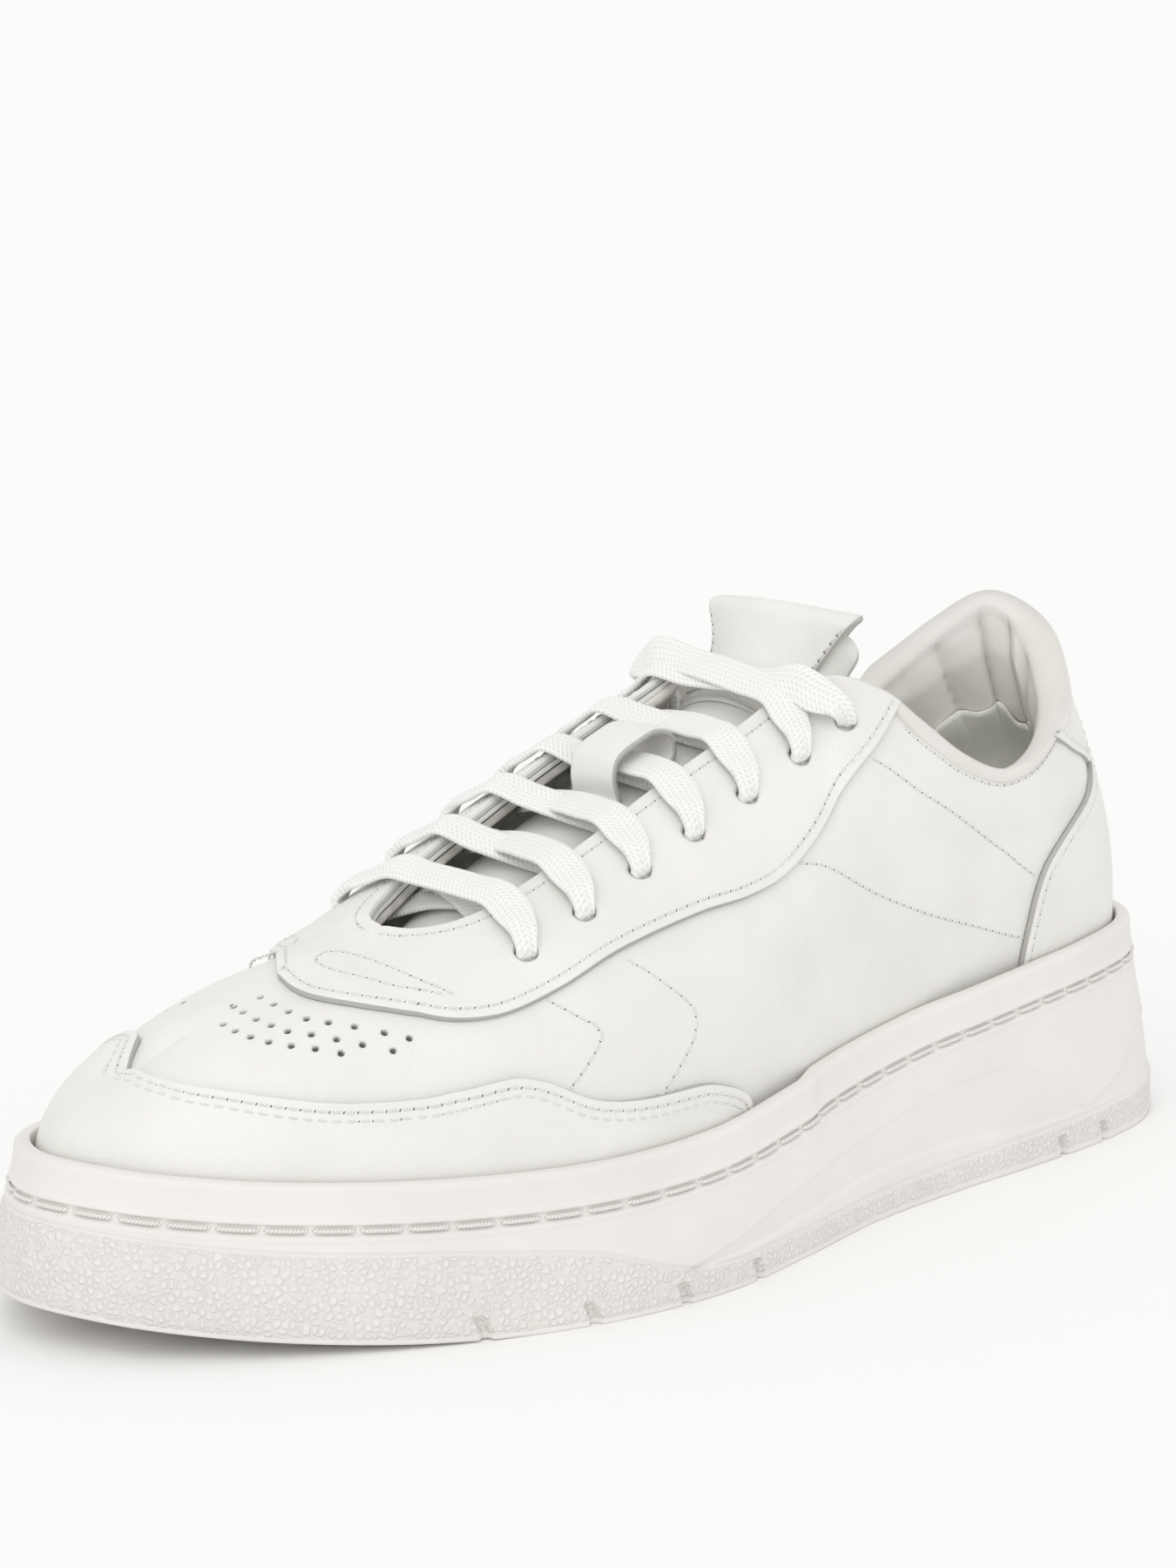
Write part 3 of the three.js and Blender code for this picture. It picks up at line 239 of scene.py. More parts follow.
def sampleUpper():
    ps = np.linspace(0, 1, gridSize[0])
    vs = np.linspace(last["footRow"], 1, gridSize[1])
    pGrid, vGrid = np.meshgrid(ps, vs, indexing="ij")
    places = {side: upperPoint(pGrid, vGrid, side) for side in (1, -1)}
    ridge = ps >= last["ridgeStart"]
    band = 26
    ease = smoothStep(0, 1, np.minimum(np.arange(2 * band + 1), 2 * band - np.arange(2 * band + 1)) / band)
    fade = (smoothStep(last["ridgeStart"] - 0.004, last["ridgeStart"] + 0.035, ps[ridge])
            * smoothStep(1.0, 0.86, ps[ridge]))[:, None, None]
    across = np.concatenate([places[1][ridge, -band - 1:], places[-1][ridge, -band - 1:-1][:, ::-1]], axis=1)
    rough = across.copy()
    for _ in range(160):
        middle = (across[:, :-2] + across[:, 2:]) / 2
        across[:, 1:-1] += (middle - across[:, 1:-1]) * ease[None, 1:-1, None] * 0.9 * fade
    # only the part of the move that is square to the ridge is kept, so nothing slides along the face
    run = unit(np.gradient(rough[:, band + 1], axis=0) * np.array([1, 0, 1]))
    square = np.stack([-run[:, 2], run[:, 1], run[:, 0]], -1)[:, None]
    across = rough + square * ((across - rough) * square).sum(-1)[..., None]
    places[1][ridge, -band - 1:] = across[:, :band + 1]
    places[-1][ridge, -band - 1:] = across[:, band:][:, ::-1]
    n, m = gridSize
    ids = {1: np.arange(n * m).reshape(n, m), -1: n * m + np.arange(n * m).reshape(n, m)}
    ids[-1][0], ids[-1][-1] = ids[1][0], ids[1][-1]
    ids[-1][ridge, -1] = ids[1][ridge, -1]
    normal = np.zeros((2 * n * m, 3))
    for side in (1, -1):
        g = places[side]
        faces = np.cross(g[1:, 1:] - g[:-1, :-1], g[:-1, 1:] - g[1:, :-1]) * -side
        for part in (ids[side][:-1, :-1], ids[side][1:, :-1], ids[side][1:, 1:], ids[side][:-1, 1:]):
            np.add.at(normal, part.ravel(), faces.reshape(-1, 3))
    normal = unit(normal)
    return places, {side: normal[ids[side]] for side in (1, -1)}


upperGrid, upperNormals = sampleUpper()


def readGrid(grid, p, v):
    n, m = gridSize
    a = np.clip(p, 0, 1) * (n - 1)
    b = np.clip((v - last["footRow"]) / (1 - last["footRow"]), 0, 1) * (m - 1)
    i = np.minimum(a.astype(int), n - 2)
    j = np.minimum(b.astype(int), m - 2)
    f, g = (a - i)[..., None], (b - j)[..., None]
    return ((grid[i, j] * (1 - f) + grid[i + 1, j] * f) * (1 - g)
            + (grid[i, j + 1] * (1 - f) + grid[i + 1, j + 1] * f) * g)


# Point and outward normal of the upper at (p, v), moved out by an offset.
def onUpper(p, v, side, offset=0.0):
    p, v = np.broadcast_arrays(np.asarray(p, float), np.asarray(v, float))
    normal = unit(readGrid(upperNormals[side], p, v))
    return readGrid(upperGrid[side], p, v) + normal * np.asarray(offset, float)[..., None], normal


print("upper sampled")


# Collects grids of quads for one object.
class Piece:
    def __init__(self, name, body="root"):
        self.name, self.body = name, body
        self.points, self.uv, self.faces, self.looks, self.marks = [], [], [], [], []
        self.size = 0

    # marks: distance in mm from a cut edge, and a share from 0 to 1 for the painted shade inside holes or for
    # moulded grain
    def grid(self, points, uv=None, edge=20.0, share=0.0, flip=False, look=0):
        rows, columns = points.shape[:2]
        ids = self.size + np.arange(rows * columns).reshape(rows, columns)
        quads = np.stack([ids[:-1, :-1], ids[1:, :-1], ids[1:, 1:], ids[:-1, 1:]], -1).reshape(-1, 4)
        self.faces.append(quads[:, ::-1] if flip else quads)
        self.looks.append(np.full(len(quads), look))
        self.points.append(points.reshape(-1, 3))
        self.uv.append((np.zeros((rows, columns, 2)) if uv is None else uv).reshape(-1, 2))
        marks = [np.broadcast_to(mark, (rows, columns)).ravel() for mark in (edge, share)]
        self.marks.append(np.stack(marks, -1))
        self.size += rows * columns
        return self

    def finish(self, materials, slot, *nodes, weld=True):
        mesh = bpy.data.meshes.new(self.name)
        points = toFrame(np.concatenate(self.points))
        faces = np.concatenate(self.faces)
        mesh.vertices.add(len(points))
        mesh.vertices.foreach_set("co", points.astype(np.float32).ravel())
        mesh.loops.add(faces.size)
        mesh.loops.foreach_set("vertex_index", faces.astype(np.int32).ravel())
        mesh.polygons.add(len(faces))
        mesh.polygons.foreach_set("loop_start", (np.arange(len(faces)) * 4).astype(np.int32))
        mesh.polygons.foreach_set("material_index", np.concatenate(self.looks).astype(np.int32))
        uv = mesh.uv_layers.new(name="UVMap")
        uv.data.foreach_set("uv", np.concatenate(self.uv)[faces.ravel()].astype(np.float32).ravel())
        marks = np.concatenate(self.marks)
        for i, name in enumerate(("edge", "share")):
            values = mesh.attributes.new(name, "FLOAT", "POINT").data
            values.foreach_set("value", marks[:, i].astype(np.float32))
        mesh.update(calc_edges=True)
        mesh.validate()
        mesh.shade_smooth()
        for material in materials:
            mesh.materials.append(material)
        piece = bpy.data.objects.new(self.name, mesh)
        bpy.context.scene.collection.objects.link(piece)
        if weld:
            joined = piece.modifiers.new("weld", "WELD")
            joined.merge_threshold = 0.00001
        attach(piece, self.body)
        if nodes:
            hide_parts(*nodes)
        print("made", self.name, len(faces), "faces")
        return piece


# Material nodes
def newMaterial(name):
    material = bpy.data.materials.new(name)
    material.use_nodes = True
    tree = material.node_tree
    tree.nodes.clear()
    shader = tree.nodes.new("ShaderNodeBsdfPrincipled")
    output = tree.nodes.new("ShaderNodeOutputMaterial")
    tree.links.new(shader.outputs["BSDF"], output.inputs["Surface"])
    return material, tree, shader


# Each input takes another node's output or a plain value
def fill(tree, node, values):
    for key, value in dict(values).items():
        if isinstance(value, bpy.types.NodeSocket):
            tree.links.new(value, node.inputs[key])
        else:
            node.inputs[key].default_value = value
    return node


def addNode(tree, kind, values=(), **settings):
    node = tree.nodes.new("ShaderNode" + kind)
    for key, value in settings.items():
        setattr(node, key, value)
    return fill(tree, node, values)


def noise(tree, where, scale, detail, **more):
    values = {"Vector": where, "Scale": scale, "Detail": detail, **more}
    return addNode(tree, "TexNoise", values).outputs["Fac"]


def objectPlace(tree):
    return addNode(tree, "TexCoord").outputs["Object"]


def bumpFrom(tree, height, strength, distance, **more):
    values = {"Height": height, "Strength": strength, "Distance": distance, **more}
    return addNode(tree, "Bump", values).outputs["Normal"]


def blendColour(tree, factor, first, second):
    colours = [value if isinstance(value, bpy.types.NodeSocket) else (*value, 1) for value in (first, second)]
    return addNode(tree, "Mix", {0: factor, 6: colours[0], 7: colours[1]}, data_type="RGBA").outputs[2]


def number(tree, operation, first, second=0.0, third=0.0):
    return addNode(tree, "Math", {0: first, 1: second, 2: third}, operation=operation).outputs[0]


def mapRange(tree, value, low, high, toLow=0.0, toHigh=1.0, smooth=True):
    return addNode(tree, "MapRange", {"Value": value, "From Min": low, "From Max": high,
                                      "To Min": toLow, "To Max": toHigh},
                   interpolation_type="SMOOTHSTEP" if smooth else "LINEAR").outputs[0]


# sRGB value 0..255 to the linear value that a socket takes
def paint(*rgb):
    return tuple((c / 255 / 12.92) if c <= 10 else ((c / 255 + 0.055) / 1.055) ** 2.4 for c in rgb)


def attribute(tree, name):
    return addNode(tree, "Attribute", attribute_name=name).outputs["Fac"]


def leatherMaterial(name, look):
    material, tree, shader = newMaterial(name)
    where = objectPlace(tree)
    cells = addNode(tree, "TexVoronoi", {"Vector": where, "Scale": 1 / (look["grain"] * mm), "Randomness": 1.0},
                    feature="DISTANCE_TO_EDGE").outputs["Distance"]
    pores = noise(tree, where, 0.55 / (look["grain"] * mm), 4.0, Roughness=0.62)
    broad = noise(tree, where, 38.0, 3.0, Roughness=0.5)
    creases = noise(tree, where, 150.0, 5.0, Roughness=0.55, Distortion=0.8)
    height = number(tree, "MULTIPLY_ADD", mapRange(tree, cells, 0.0, 0.25), 0.55,
                    number(tree, "MULTIPLY", pores, 0.8))
    fine = bumpFrom(tree, height, look["grainDepth"], 0.00012)
    soft = number(tree, "MULTIPLY_ADD", broad, 1.6, number(tree, "MULTIPLY", creases, 0.35))
    wide = bumpFrom(tree, soft, look["creaseDepth"], 0.0012, Normal=fine)
    edge = attribute(tree, "edge")
    tone = blendColour(tree, mapRange(tree, broad, 0.3, 0.7), look["shade"], look["colour"])
    # painted shade: the valleys of the grain are darkened toward the shade colour
    tone = blendColour(tree, mapRange(tree, cells, 0.0, 0.12, look["valleyShade"], 0.0), tone, look["shade"])
    tone = blendColour(tree, mapRange(tree, edge, 0.02, 0.3, 1.0, 0.0), tone, look["cut"])
    # painted shade: the floor of punched holes turns to the dark hole colour
    tone = blendColour(tree, attribute(tree, "share"), tone, look["hole"])
    rough = mapRange(tree, pores, 0.3, 0.7, look["roughness"] - 0.06, look["roughness"] + 0.06)
    rough = number(tree, "MAXIMUM", rough, mapRange(tree, edge, 0.02, 0.3, 0.95, 0.0))
    fill(tree, shader, {"Base Color": tone, "Normal": wide, "Roughness": rough, "Specular IOR Level": 0.42,
                        "Subsurface Weight": 0.04, "Subsurface Scale": 0.002})
    return material


leatherLook = {"colour": paint(238, 237, 233), "shade": paint(231, 230, 225), "cut": paint(186, 185, 180),
               # the hole colour is painted shade for the inside of punched holes
               "hole": paint(96, 93, 88), "grain": 0.95, "grainDepth": 0.32, "creaseDepth": 0.22,
               # the last value sets the strength of the painted shade in the grain's valleys
               "roughness": 0.47, "valleyShade": 0.35}
liningLook = dict(leatherLook, colour=paint(231, 228, 223), shade=paint(224, 221, 215), cut=paint(192, 190, 184),
                  grain=0.8, grainDepth=0.2, creaseDepth=0.35, roughness=0.55)
suedeLook = dict(leatherLook, colour=paint(240, 240, 233), shade=paint(230, 231, 223), cut=paint(242, 241, 236),
                 grain=0.5, grainDepth=0.5, creaseDepth=0.4, roughness=0.9)
leatherFace = leatherMaterial("whiteLeather", leatherLook)
liningFace = leatherMaterial("greyLiningLeather", liningLook)
suedeFace = leatherMaterial("heelSuede", suedeLook)


def textileMaterial(name, look):
    material, tree, shader = newMaterial(name)
    where = objectPlace(tree)
    scale = 1 / (look["pitch"] * mm)
    warp, weft = (addNode(tree, "TexWave", {"Vector": where, "Scale": scale / 20, "Distortion": 1.2, "Detail": 1.0,
                                            "Detail Scale": 3.0}, wave_type="BANDS",
                          bands_direction=direction).outputs["Fac"] for direction in ("X", "Z"))
    fuzz = noise(tree, where, scale * 0.9, 3.0)
    broad = noise(tree, where, 45.0, 2.0)
    weave = number(tree, "MULTIPLY_ADD", number(tree, "MULTIPLY", warp, weft), 1.0,
                   number(tree, "MULTIPLY", fuzz, 0.5))
    tone = blendColour(tree, mapRange(tree, weave, 0.2, 1.0), look["shade"], look["colour"])
    tone = blendColour(tree, mapRange(tree, broad, 0.3, 0.7, 0.0, 0.25), tone, look["shade"])
    fill(tree, shader, {"Base Color": tone, "Normal": bumpFrom(tree, weave, look["depth"], 0.0003),
                        "Roughness": 0.9, "Sheen Weight": 0.15, "Specular IOR Level": 0.2})
    return material


textileLook = {"colour": paint(224, 222, 216), "shade": paint(198, 196, 189), "pitch": 0.9, "depth": 0.5}
textileFace = textileMaterial("wovenLining", textileLook)


def uvPlace(tree):
    parts = addNode(tree, "SeparateXYZ", {"Vector": addNode(tree, "TexCoord").outputs["UV"]})
    return parts.outputs["X"], parts.outputs["Y"]


# Two families of strands cross at an angle and show as a fine chevron
def laceMaterial(look):
    material, tree, shader = newMaterial("braidedLace")
    along, across = uvPlace(tree)
    slanted = number(tree, "MULTIPLY_ADD", number(tree, "ABSOLUTE", across), look["slant"], along)
    strand = number(tree, "SINE", number(tree, "MULTIPLY", slanted, 2 * math.pi / look["pitch"]))
    columns = number(tree, "SINE", number(tree, "MULTIPLY", across, 2 * math.pi / look["column"]))
    weave = number(tree, "MULTIPLY_ADD", strand, 0.5, number(tree, "MULTIPLY", columns, 0.35))
    fuzz = noise(tree, objectPlace(tree), 2600.0, 2.0)
    bump = bumpFrom(tree, number(tree, "MULTIPLY_ADD", fuzz, 0.35, weave), look["depth"], 0.00022)
    tone = blendColour(tree, mapRange(tree, weave, -0.7, 0.3), look["shade"], look["colour"])
    fill(tree, shader, {"Base Color": tone, "Normal": bump, "Roughness": 0.85, "Sheen Weight": 0.2,
                        "Specular IOR Level": 0.25})
    return material


laceFace = laceMaterial({"colour": paint(247, 247, 245), "shade": paint(233, 232, 229), "pitch": 1.15,
                         "slant": 0.75, "column": 1.25, "depth": 0.55})


def threadMaterial(name, look):
    material, tree, shader = newMaterial(name)
    along, about = uvPlace(tree)
    turn = number(tree, "MULTIPLY_ADD", along, 2 * math.pi / look["twist"],
                  number(tree, "MULTIPLY", about, 4 * math.pi))
    ply = number(tree, "SINE", turn)
    tone = blendColour(tree, mapRange(tree, ply, -1.0, 0.4), look["shade"], look["colour"])
    fill(tree, shader, {"Base Color": tone, "Normal": bumpFrom(tree, ply, 0.5, 0.00008), "Roughness": 0.6,
                        "Sheen Weight": 0.15})
    return material


threadFace = threadMaterial("sewingThread", {"colour": paint(240, 239, 235), "shade": paint(205, 203, 197),
                                             "twist": 0.7})


# Plain finish whose tone drifts between two colours
def cloudyMaterial(name, scale, first, second, roughness, **more):
    material, tree, shader = newMaterial(name)
    tone = blendColour(tree, noise(tree, objectPlace(tree), scale, 2.0), first, second)
    fill(tree, shader, {"Base Color": tone, "Roughness": roughness, **more})
    return material


# painted shade: the dark colour of the needle holes between stitches
needleShadeFace = cloudyMaterial("needleHoleShade", 900.0, paint(142, 138, 131), paint(112, 108, 101), 0.95)
filmFace = cloudyMaterial("agletFilm", 300.0, paint(244, 244, 242), paint(228, 228, 224), 0.25)


def rubberMaterial(look):
    material, tree, shader = newMaterial("soleRubber")
    where = objectPlace(tree)
    grain = attribute(tree, "share")
    pebble = addNode(tree, "TexVoronoi", {"Vector": where, "Scale": 1 / (look["pebble"] * mm), "Randomness": 0.9},
                     feature="DISTANCE_TO_EDGE").outputs["Distance"]
    fine = noise(tree, where, 1400.0, 4.0)
    broad = noise(tree, where, 30.0, 3.0)
    raised = number(tree, "MULTIPLY", mapRange(tree, pebble, 0.0, 0.3), grain)
    bump = bumpFrom(tree, number(tree, "MULTIPLY_ADD", fine, 0.06, raised), look["depth"], 0.00035)
    tone = blendColour(tree, mapRange(tree, broad, 0.3, 0.7), look["shade"], look["colour"])
    # painted shade: the valleys between the raised pebbles of the grained band are darkened
    valleyShade = number(tree, "MULTIPLY", mapRange(tree, pebble, 0.0, 0.16, 1.0, 0.0),
                    number(tree, "MULTIPLY", grain, 0.6))
    fill(tree, shader, {"Base Color": blendColour(tree, valleyShade, tone, look["valleyShade"]), "Normal": bump,
                        "Roughness": mapRange(tree, fine, 0.3, 0.7, 0.5, 0.6), "Specular IOR Level": 0.4})
    return material


rubberFace = rubberMaterial({"colour": paint(236, 232, 228), "shade": paint(231, 227, 223),
                             # the third colour is painted shade for the valleys between the pebbles
                             "valleyShade": paint(222, 218, 213), "pebble": 1.5, "depth": 0.7})


def foamMaterial():
    material, tree, shader = newMaterial("openFoam")
    cells = addNode(tree, "TexVoronoi", {"Vector": objectPlace(tree), "Scale": 1500.0}).outputs["Distance"]
    tone = blendColour(tree, mapRange(tree, cells, 0.1, 0.6), paint(233, 227, 200), paint(196, 187, 152))
    fill(tree, shader, {"Base Color": tone, "Normal": bumpFrom(tree, cells, 0.7, 0.0003), "Roughness": 0.95})
    return material


foamFace = foamMaterial()
boardFace = textileMaterial("fibreBoard", {"colour": paint(214, 205, 186), "shade": paint(188, 178, 157),
                                           "pitch": 1.4, "depth": 0.4})
print("materials made")


# Lines on the upper, as (p, v) places
def curve(points, count):
    points = np.array(points, float)
    steps = np.hypot(np.diff(points[:, 0]) * 340, np.diff(points[:, 1]) * 75)
    key = np.concatenate([[0], np.cumsum(np.sqrt(steps))])
    return smoothRows(np.column_stack([key, points]).tolist())(np.linspace(0, key[-1], count))


# Points at even steps along a line that lies on the upper
def evenly(line, side, step):
    points = onUpper(line[:, 0], line[:, 1], side)[0]
    length = np.concatenate([[0], np.cumsum(np.linalg.norm(np.diff(points, axis=0), axis=1))])
    count = max(int(round(length[-1] / step)), 2) + 1
    key = np.linspace(0, length[-1], count)
    return np.column_stack([np.interp(key, length, line[:, 0]), np.interp(key, length, line[:, 1])])


# The line moved sideways on the upper by a distance in mm, to the left of its run for a positive one
def shiftLine(line, side, distance):
    p, v = line[:, 0], line[:, 1]
    e = 0.004
    here, normal = onUpper(p, v, side)
    run = unit(np.gradient(here, axis=0))
    across = np.cross(normal, run) * -side
    alongP = (onUpper(np.minimum(p + e, 1), v, side)[0] - onUpper(np.maximum(p - e, 0), v, side)[0]) \
        / (np.minimum(p + e, 1) - np.maximum(p - e, 0))[:, None]
    alongV = (onUpper(p, np.minimum(v + e, 1), side)[0] - onUpper(p, v - e, side)[0]) \
        / (np.minimum(v + e, 1) - v + e)[:, None]
    a, b, c = (alongP**2).sum(1), (alongP * alongV).sum(1), (alongV**2).sum(1)
    d, f = (alongP * across).sum(1), (alongV * across).sum(1)
    det = a * c - b * b
    dp, dv = (d * c - f * b) / det, (a * f - b * d) / det
    return np.column_stack([p + dp * distance, v + dv * distance])


# Rounded cut edge of a sewn-on piece: distance from the edge and height above the shell
panelEdge = {"seat": 0.15, "height": 1.7,
             "away": [0, 0, 0, 0.1, 0.35, 0.7, 1.1, 1.5, 1.85, 2.2, 2.6, 3.1, 3.6, 4.0, 4.35, 4.8, 5.5],
             "share": [0.05, 0.45, 0.8, 0.92, 0.985, 1, 1, 0.97, 0.93, 0.97, 1, 1, 0.97, 0.93, 0.97, 1, 1]}


# A sewn-on piece between its cut edge and a far line, both runs of (p, v) of the same count.
# farEdge is the share of a finished edge along the far line, at each place.
def panelGrid(piece, edgeLine, farLine, side, rows=40, farEdge=None, holes=None):
    height = panelEdge["height"]
    near = onUpper(edgeLine[:, 0], edgeLine[:, 1], side)[0]
    far = onUpper(farLine[:, 0], farLine[:, 1], side)[0]
    span = np.maximum(np.linalg.norm(far - near, axis=1), 0.02)
    away, share = np.array(panelEdge["away"]), np.array(panelEdge["share"])
    k = len(away)
    capped = np.minimum(away[None, :] / span[:, None], np.arange(k)[None, :] / (k + rows) * 2.0)
    capped = np.minimum(capped, 0.9)
    rest = np.linspace(0, 1, rows + 1)[1:]
    u = np.concatenate([capped, capped[:, -1:] + (1 - capped[:, -1:]) * rest[None, :]], axis=1)
    shares = np.concatenate([share, np.ones(rows)])[None, :] * np.ones((len(edgeLine), 1))
    edge = np.concatenate([away, np.full(rows, 8.0)])[None, :] * np.ones((len(edgeLine), 1))
    edge = np.where(shares < 0.9, 0.0, edge + 0.2)
    pv = edgeLine[:, None, :] * (1 - u[..., None]) + farLine[:, None, :] * u[..., None]
    offset = panelEdge["seat"] + (height - panelEdge["seat"]) * shares
    points, normals = onUpper(pv[..., 0], pv[..., 1], side, offset)
    if farEdge is not None:
        # rolls the far rows over the top edge and down its wall
        wall = [(1.0, 0.0), (0.93, 0.35), (0.75, 0.55), (0.4, 0.62), (0.0, 0.62)]
        up = unit(points[:, -1] - points[:, -2])
        extra = []
        for heightShare, out in wall[1:]:
            drop = (1 - heightShare) * height * farEdge[:, None]
            extra.append(points[:, -1] - normals[:, -1] * drop + up * out * farEdge[:, None])
        points = np.concatenate([points, np.stack(extra, 1)], axis=1)
        normals = np.concatenate([normals, np.repeat(normals[:, -1:], len(extra), axis=1)], axis=1)
        edge = np.concatenate([edge, np.repeat(edge[:, -1:], len(extra), axis=1)], axis=1)
        edge[:, -2:] = np.where(farEdge[:, None] > 0.5, 0.12, edge[:, -2:])
    share = np.zeros(points.shape[:2])
    if holes is not None:
        points, share = punch(points, normals, *holes)
    piece.grid(points, edge=edge, share=share, flip=side < 0)


# Presses holes into a fine grid: rims are drawn to a true circle, the floor goes down by the depth and is marked
# for a dark painted shade.
def punch(points, normals, centres, radius, depth, reach=0.3):
    flat = points.reshape(-1, 3)
    down = normals.reshape(-1, 3)
    share = np.zeros(len(flat))
    for centre, axis in centres:
        gap = flat - centre
        r = gap - (gap @ axis)[:, None] * axis
        size = np.linalg.norm(r, axis=1)
        near = (size < radius + 2 * reach) & (np.linalg.norm(gap, axis=1) < radius + 3)
        rim = near & (np.abs(size - radius) < reach)
        flat[rim] += (r / np.maximum(size, 1e-6)[:, None])[rim] * (radius - size[rim])[:, None]
        flat[rim] -= down[rim] * 0.12
        inside = near & (size <= radius - reach)
        flat[inside] -= down[inside] * depth
        share[inside] = 1.0
    return flat.reshape(points.shape), share.reshape(points.shape[:2])


def below(line, v):
    return np.column_stack([line[:, 0], np.full(len(line), v)])


lines = {
    "toeCap": [[0.508, -0.15], [0.528, 0.087], [0.541, 0.127], [0.558, 0.157], [0.581, 0.187], [0.629, 0.214],
               [0.653, 0.237], [0.674, 0.271], [0.71, 0.368], [0.732, 0.405], [0.763, 0.391], [0.783, 0.375],
               [0.828, 0.381], [0.85, 0.408], [0.898, 0.508], [0.925, 0.562], [0.958, 0.653], [0.982, 0.735],
               [1, 0.77]],
    "toeCapInner": [[0.508, -0.15], [0.528, 0.087], [0.558, 0.157], [0.581, 0.187], [0.629, 0.214],
                    [0.653, 0.237], [0.674, 0.271], [0.71, 0.368], [0.732, 0.405], [0.763, 0.391], [0.783, 0.375],
                    [0.828, 0.385], [0.86, 0.45], [0.885, 0.55], [0.91, 0.67], [0.935, 0.755], [0.96, 0.775],
                    [0.982, 0.772], [1, 0.77]],
    "eyestay": [[0.417, 1], [0.453, 0.842], [0.493, 0.722], [0.541, 0.602], [0.569, 0.591], [0.607, 0.622],
                [0.673, 0.653], [0.709, 0.64], [0.75, 0.619], [0.775, 0.629], [0.811, 0.692], [0.83, 0.738],
                [0.843, 0.782], [0.855, 0.841], [0.864, 0.916], [0.869, 1]],
    "eyestayInner": [[0.417, 1], [0.453, 0.842], [0.493, 0.722], [0.541, 0.602], [0.569, 0.591], [0.607, 0.622],
                     [0.673, 0.645], [0.709, 0.632], [0.74, 0.635], [0.765, 0.67], [0.79, 0.735], [0.812, 0.81],
                     [0.834, 0.885], [0.853, 0.95], [0.869, 1]],
    "counter": [[0, 0.72], [0.04, 0.705], [0.08, 0.687], [0.12, 0.66], [0.156, 0.622], [0.19, 0.565],
                [0.212, 0.49], [0.222, 0.4], [0.229, 0.25], [0.234, 0.1], [0.236, -0.15]],
    "tab": [[0, 0.735], [0.04, 0.722], [0.076, 0.706], [0.09, 0.718], [0.104, 0.772], [0.136, 0.87], [0.172, 1]],
    "chevrons": [[[0.717, 0.625], [0.694, 0.53], [0.673, 0.44], [0.678, 0.38], [0.689, 0.317]],
                 [[0.657, 0.602], [0.627, 0.485], [0.599, 0.371], [0.597, 0.313], [0.604, 0.26], [0.615, 0.208]]],
    "rear": [[[0.447, 0.819], [0.397, 0.795], [0.335, 0.757], [0.273, 0.641], [0.226, 0.465]],
             [[0.525, 0.606], [0.443, 0.529], [0.371, 0.46], [0.293, 0.345], [0.233, 0.2]]],
    "leaf": [[[0.775, 0.712], [0.781, 0.739], [0.793, 0.783], [0.805, 0.846], [0.816, 0.916], [0.826, 0.978],
              [0.833, 0.99], [0.84, 0.975], [0.841, 0.953]],
             [[0.78, 0.712], [0.8, 0.749], [0.816, 0.803], [0.835, 0.89], [0.841, 0.953]]],
    "piping": [[0, 0.98], [0.116, 0.98], [0.18, 0.974], [0.228, 0.956], [0.299, 0.937], [0.361, 0.939],
               [0.409, 0.954], [0.447, 0.982], [0.469, 0.993]],
    "eyelets": [[0.477, 0.896], [0.525, 0.853], [0.565, 0.834], [0.602, 0.826], [0.642, 0.825], [0.685, 0.817],
                [0.729, 0.795]],
    "vents": [[[0.888, 0.965], [0.878, 0.892], [0.868, 0.819], [0.856, 0.749], [0.842, 0.699],
               [0.826, 0.656], [0.808, 0.614], [0.7935, 0.583]],
              [[0.914, 0.985], [0.904, 0.927], [0.892, 0.853], [0.88, 0.788], [0.868, 0.726], [0.852, 0.672],
               [0.836, 0.622], [0.82, 0.583], [0.802, 0.548]],
              [[0.922, 0.907], [0.908, 0.834], [0.894, 0.768], [0.88, 0.71], [0.864, 0.653], [0.848, 0.606],
               [0.832, 0.564]]],
}


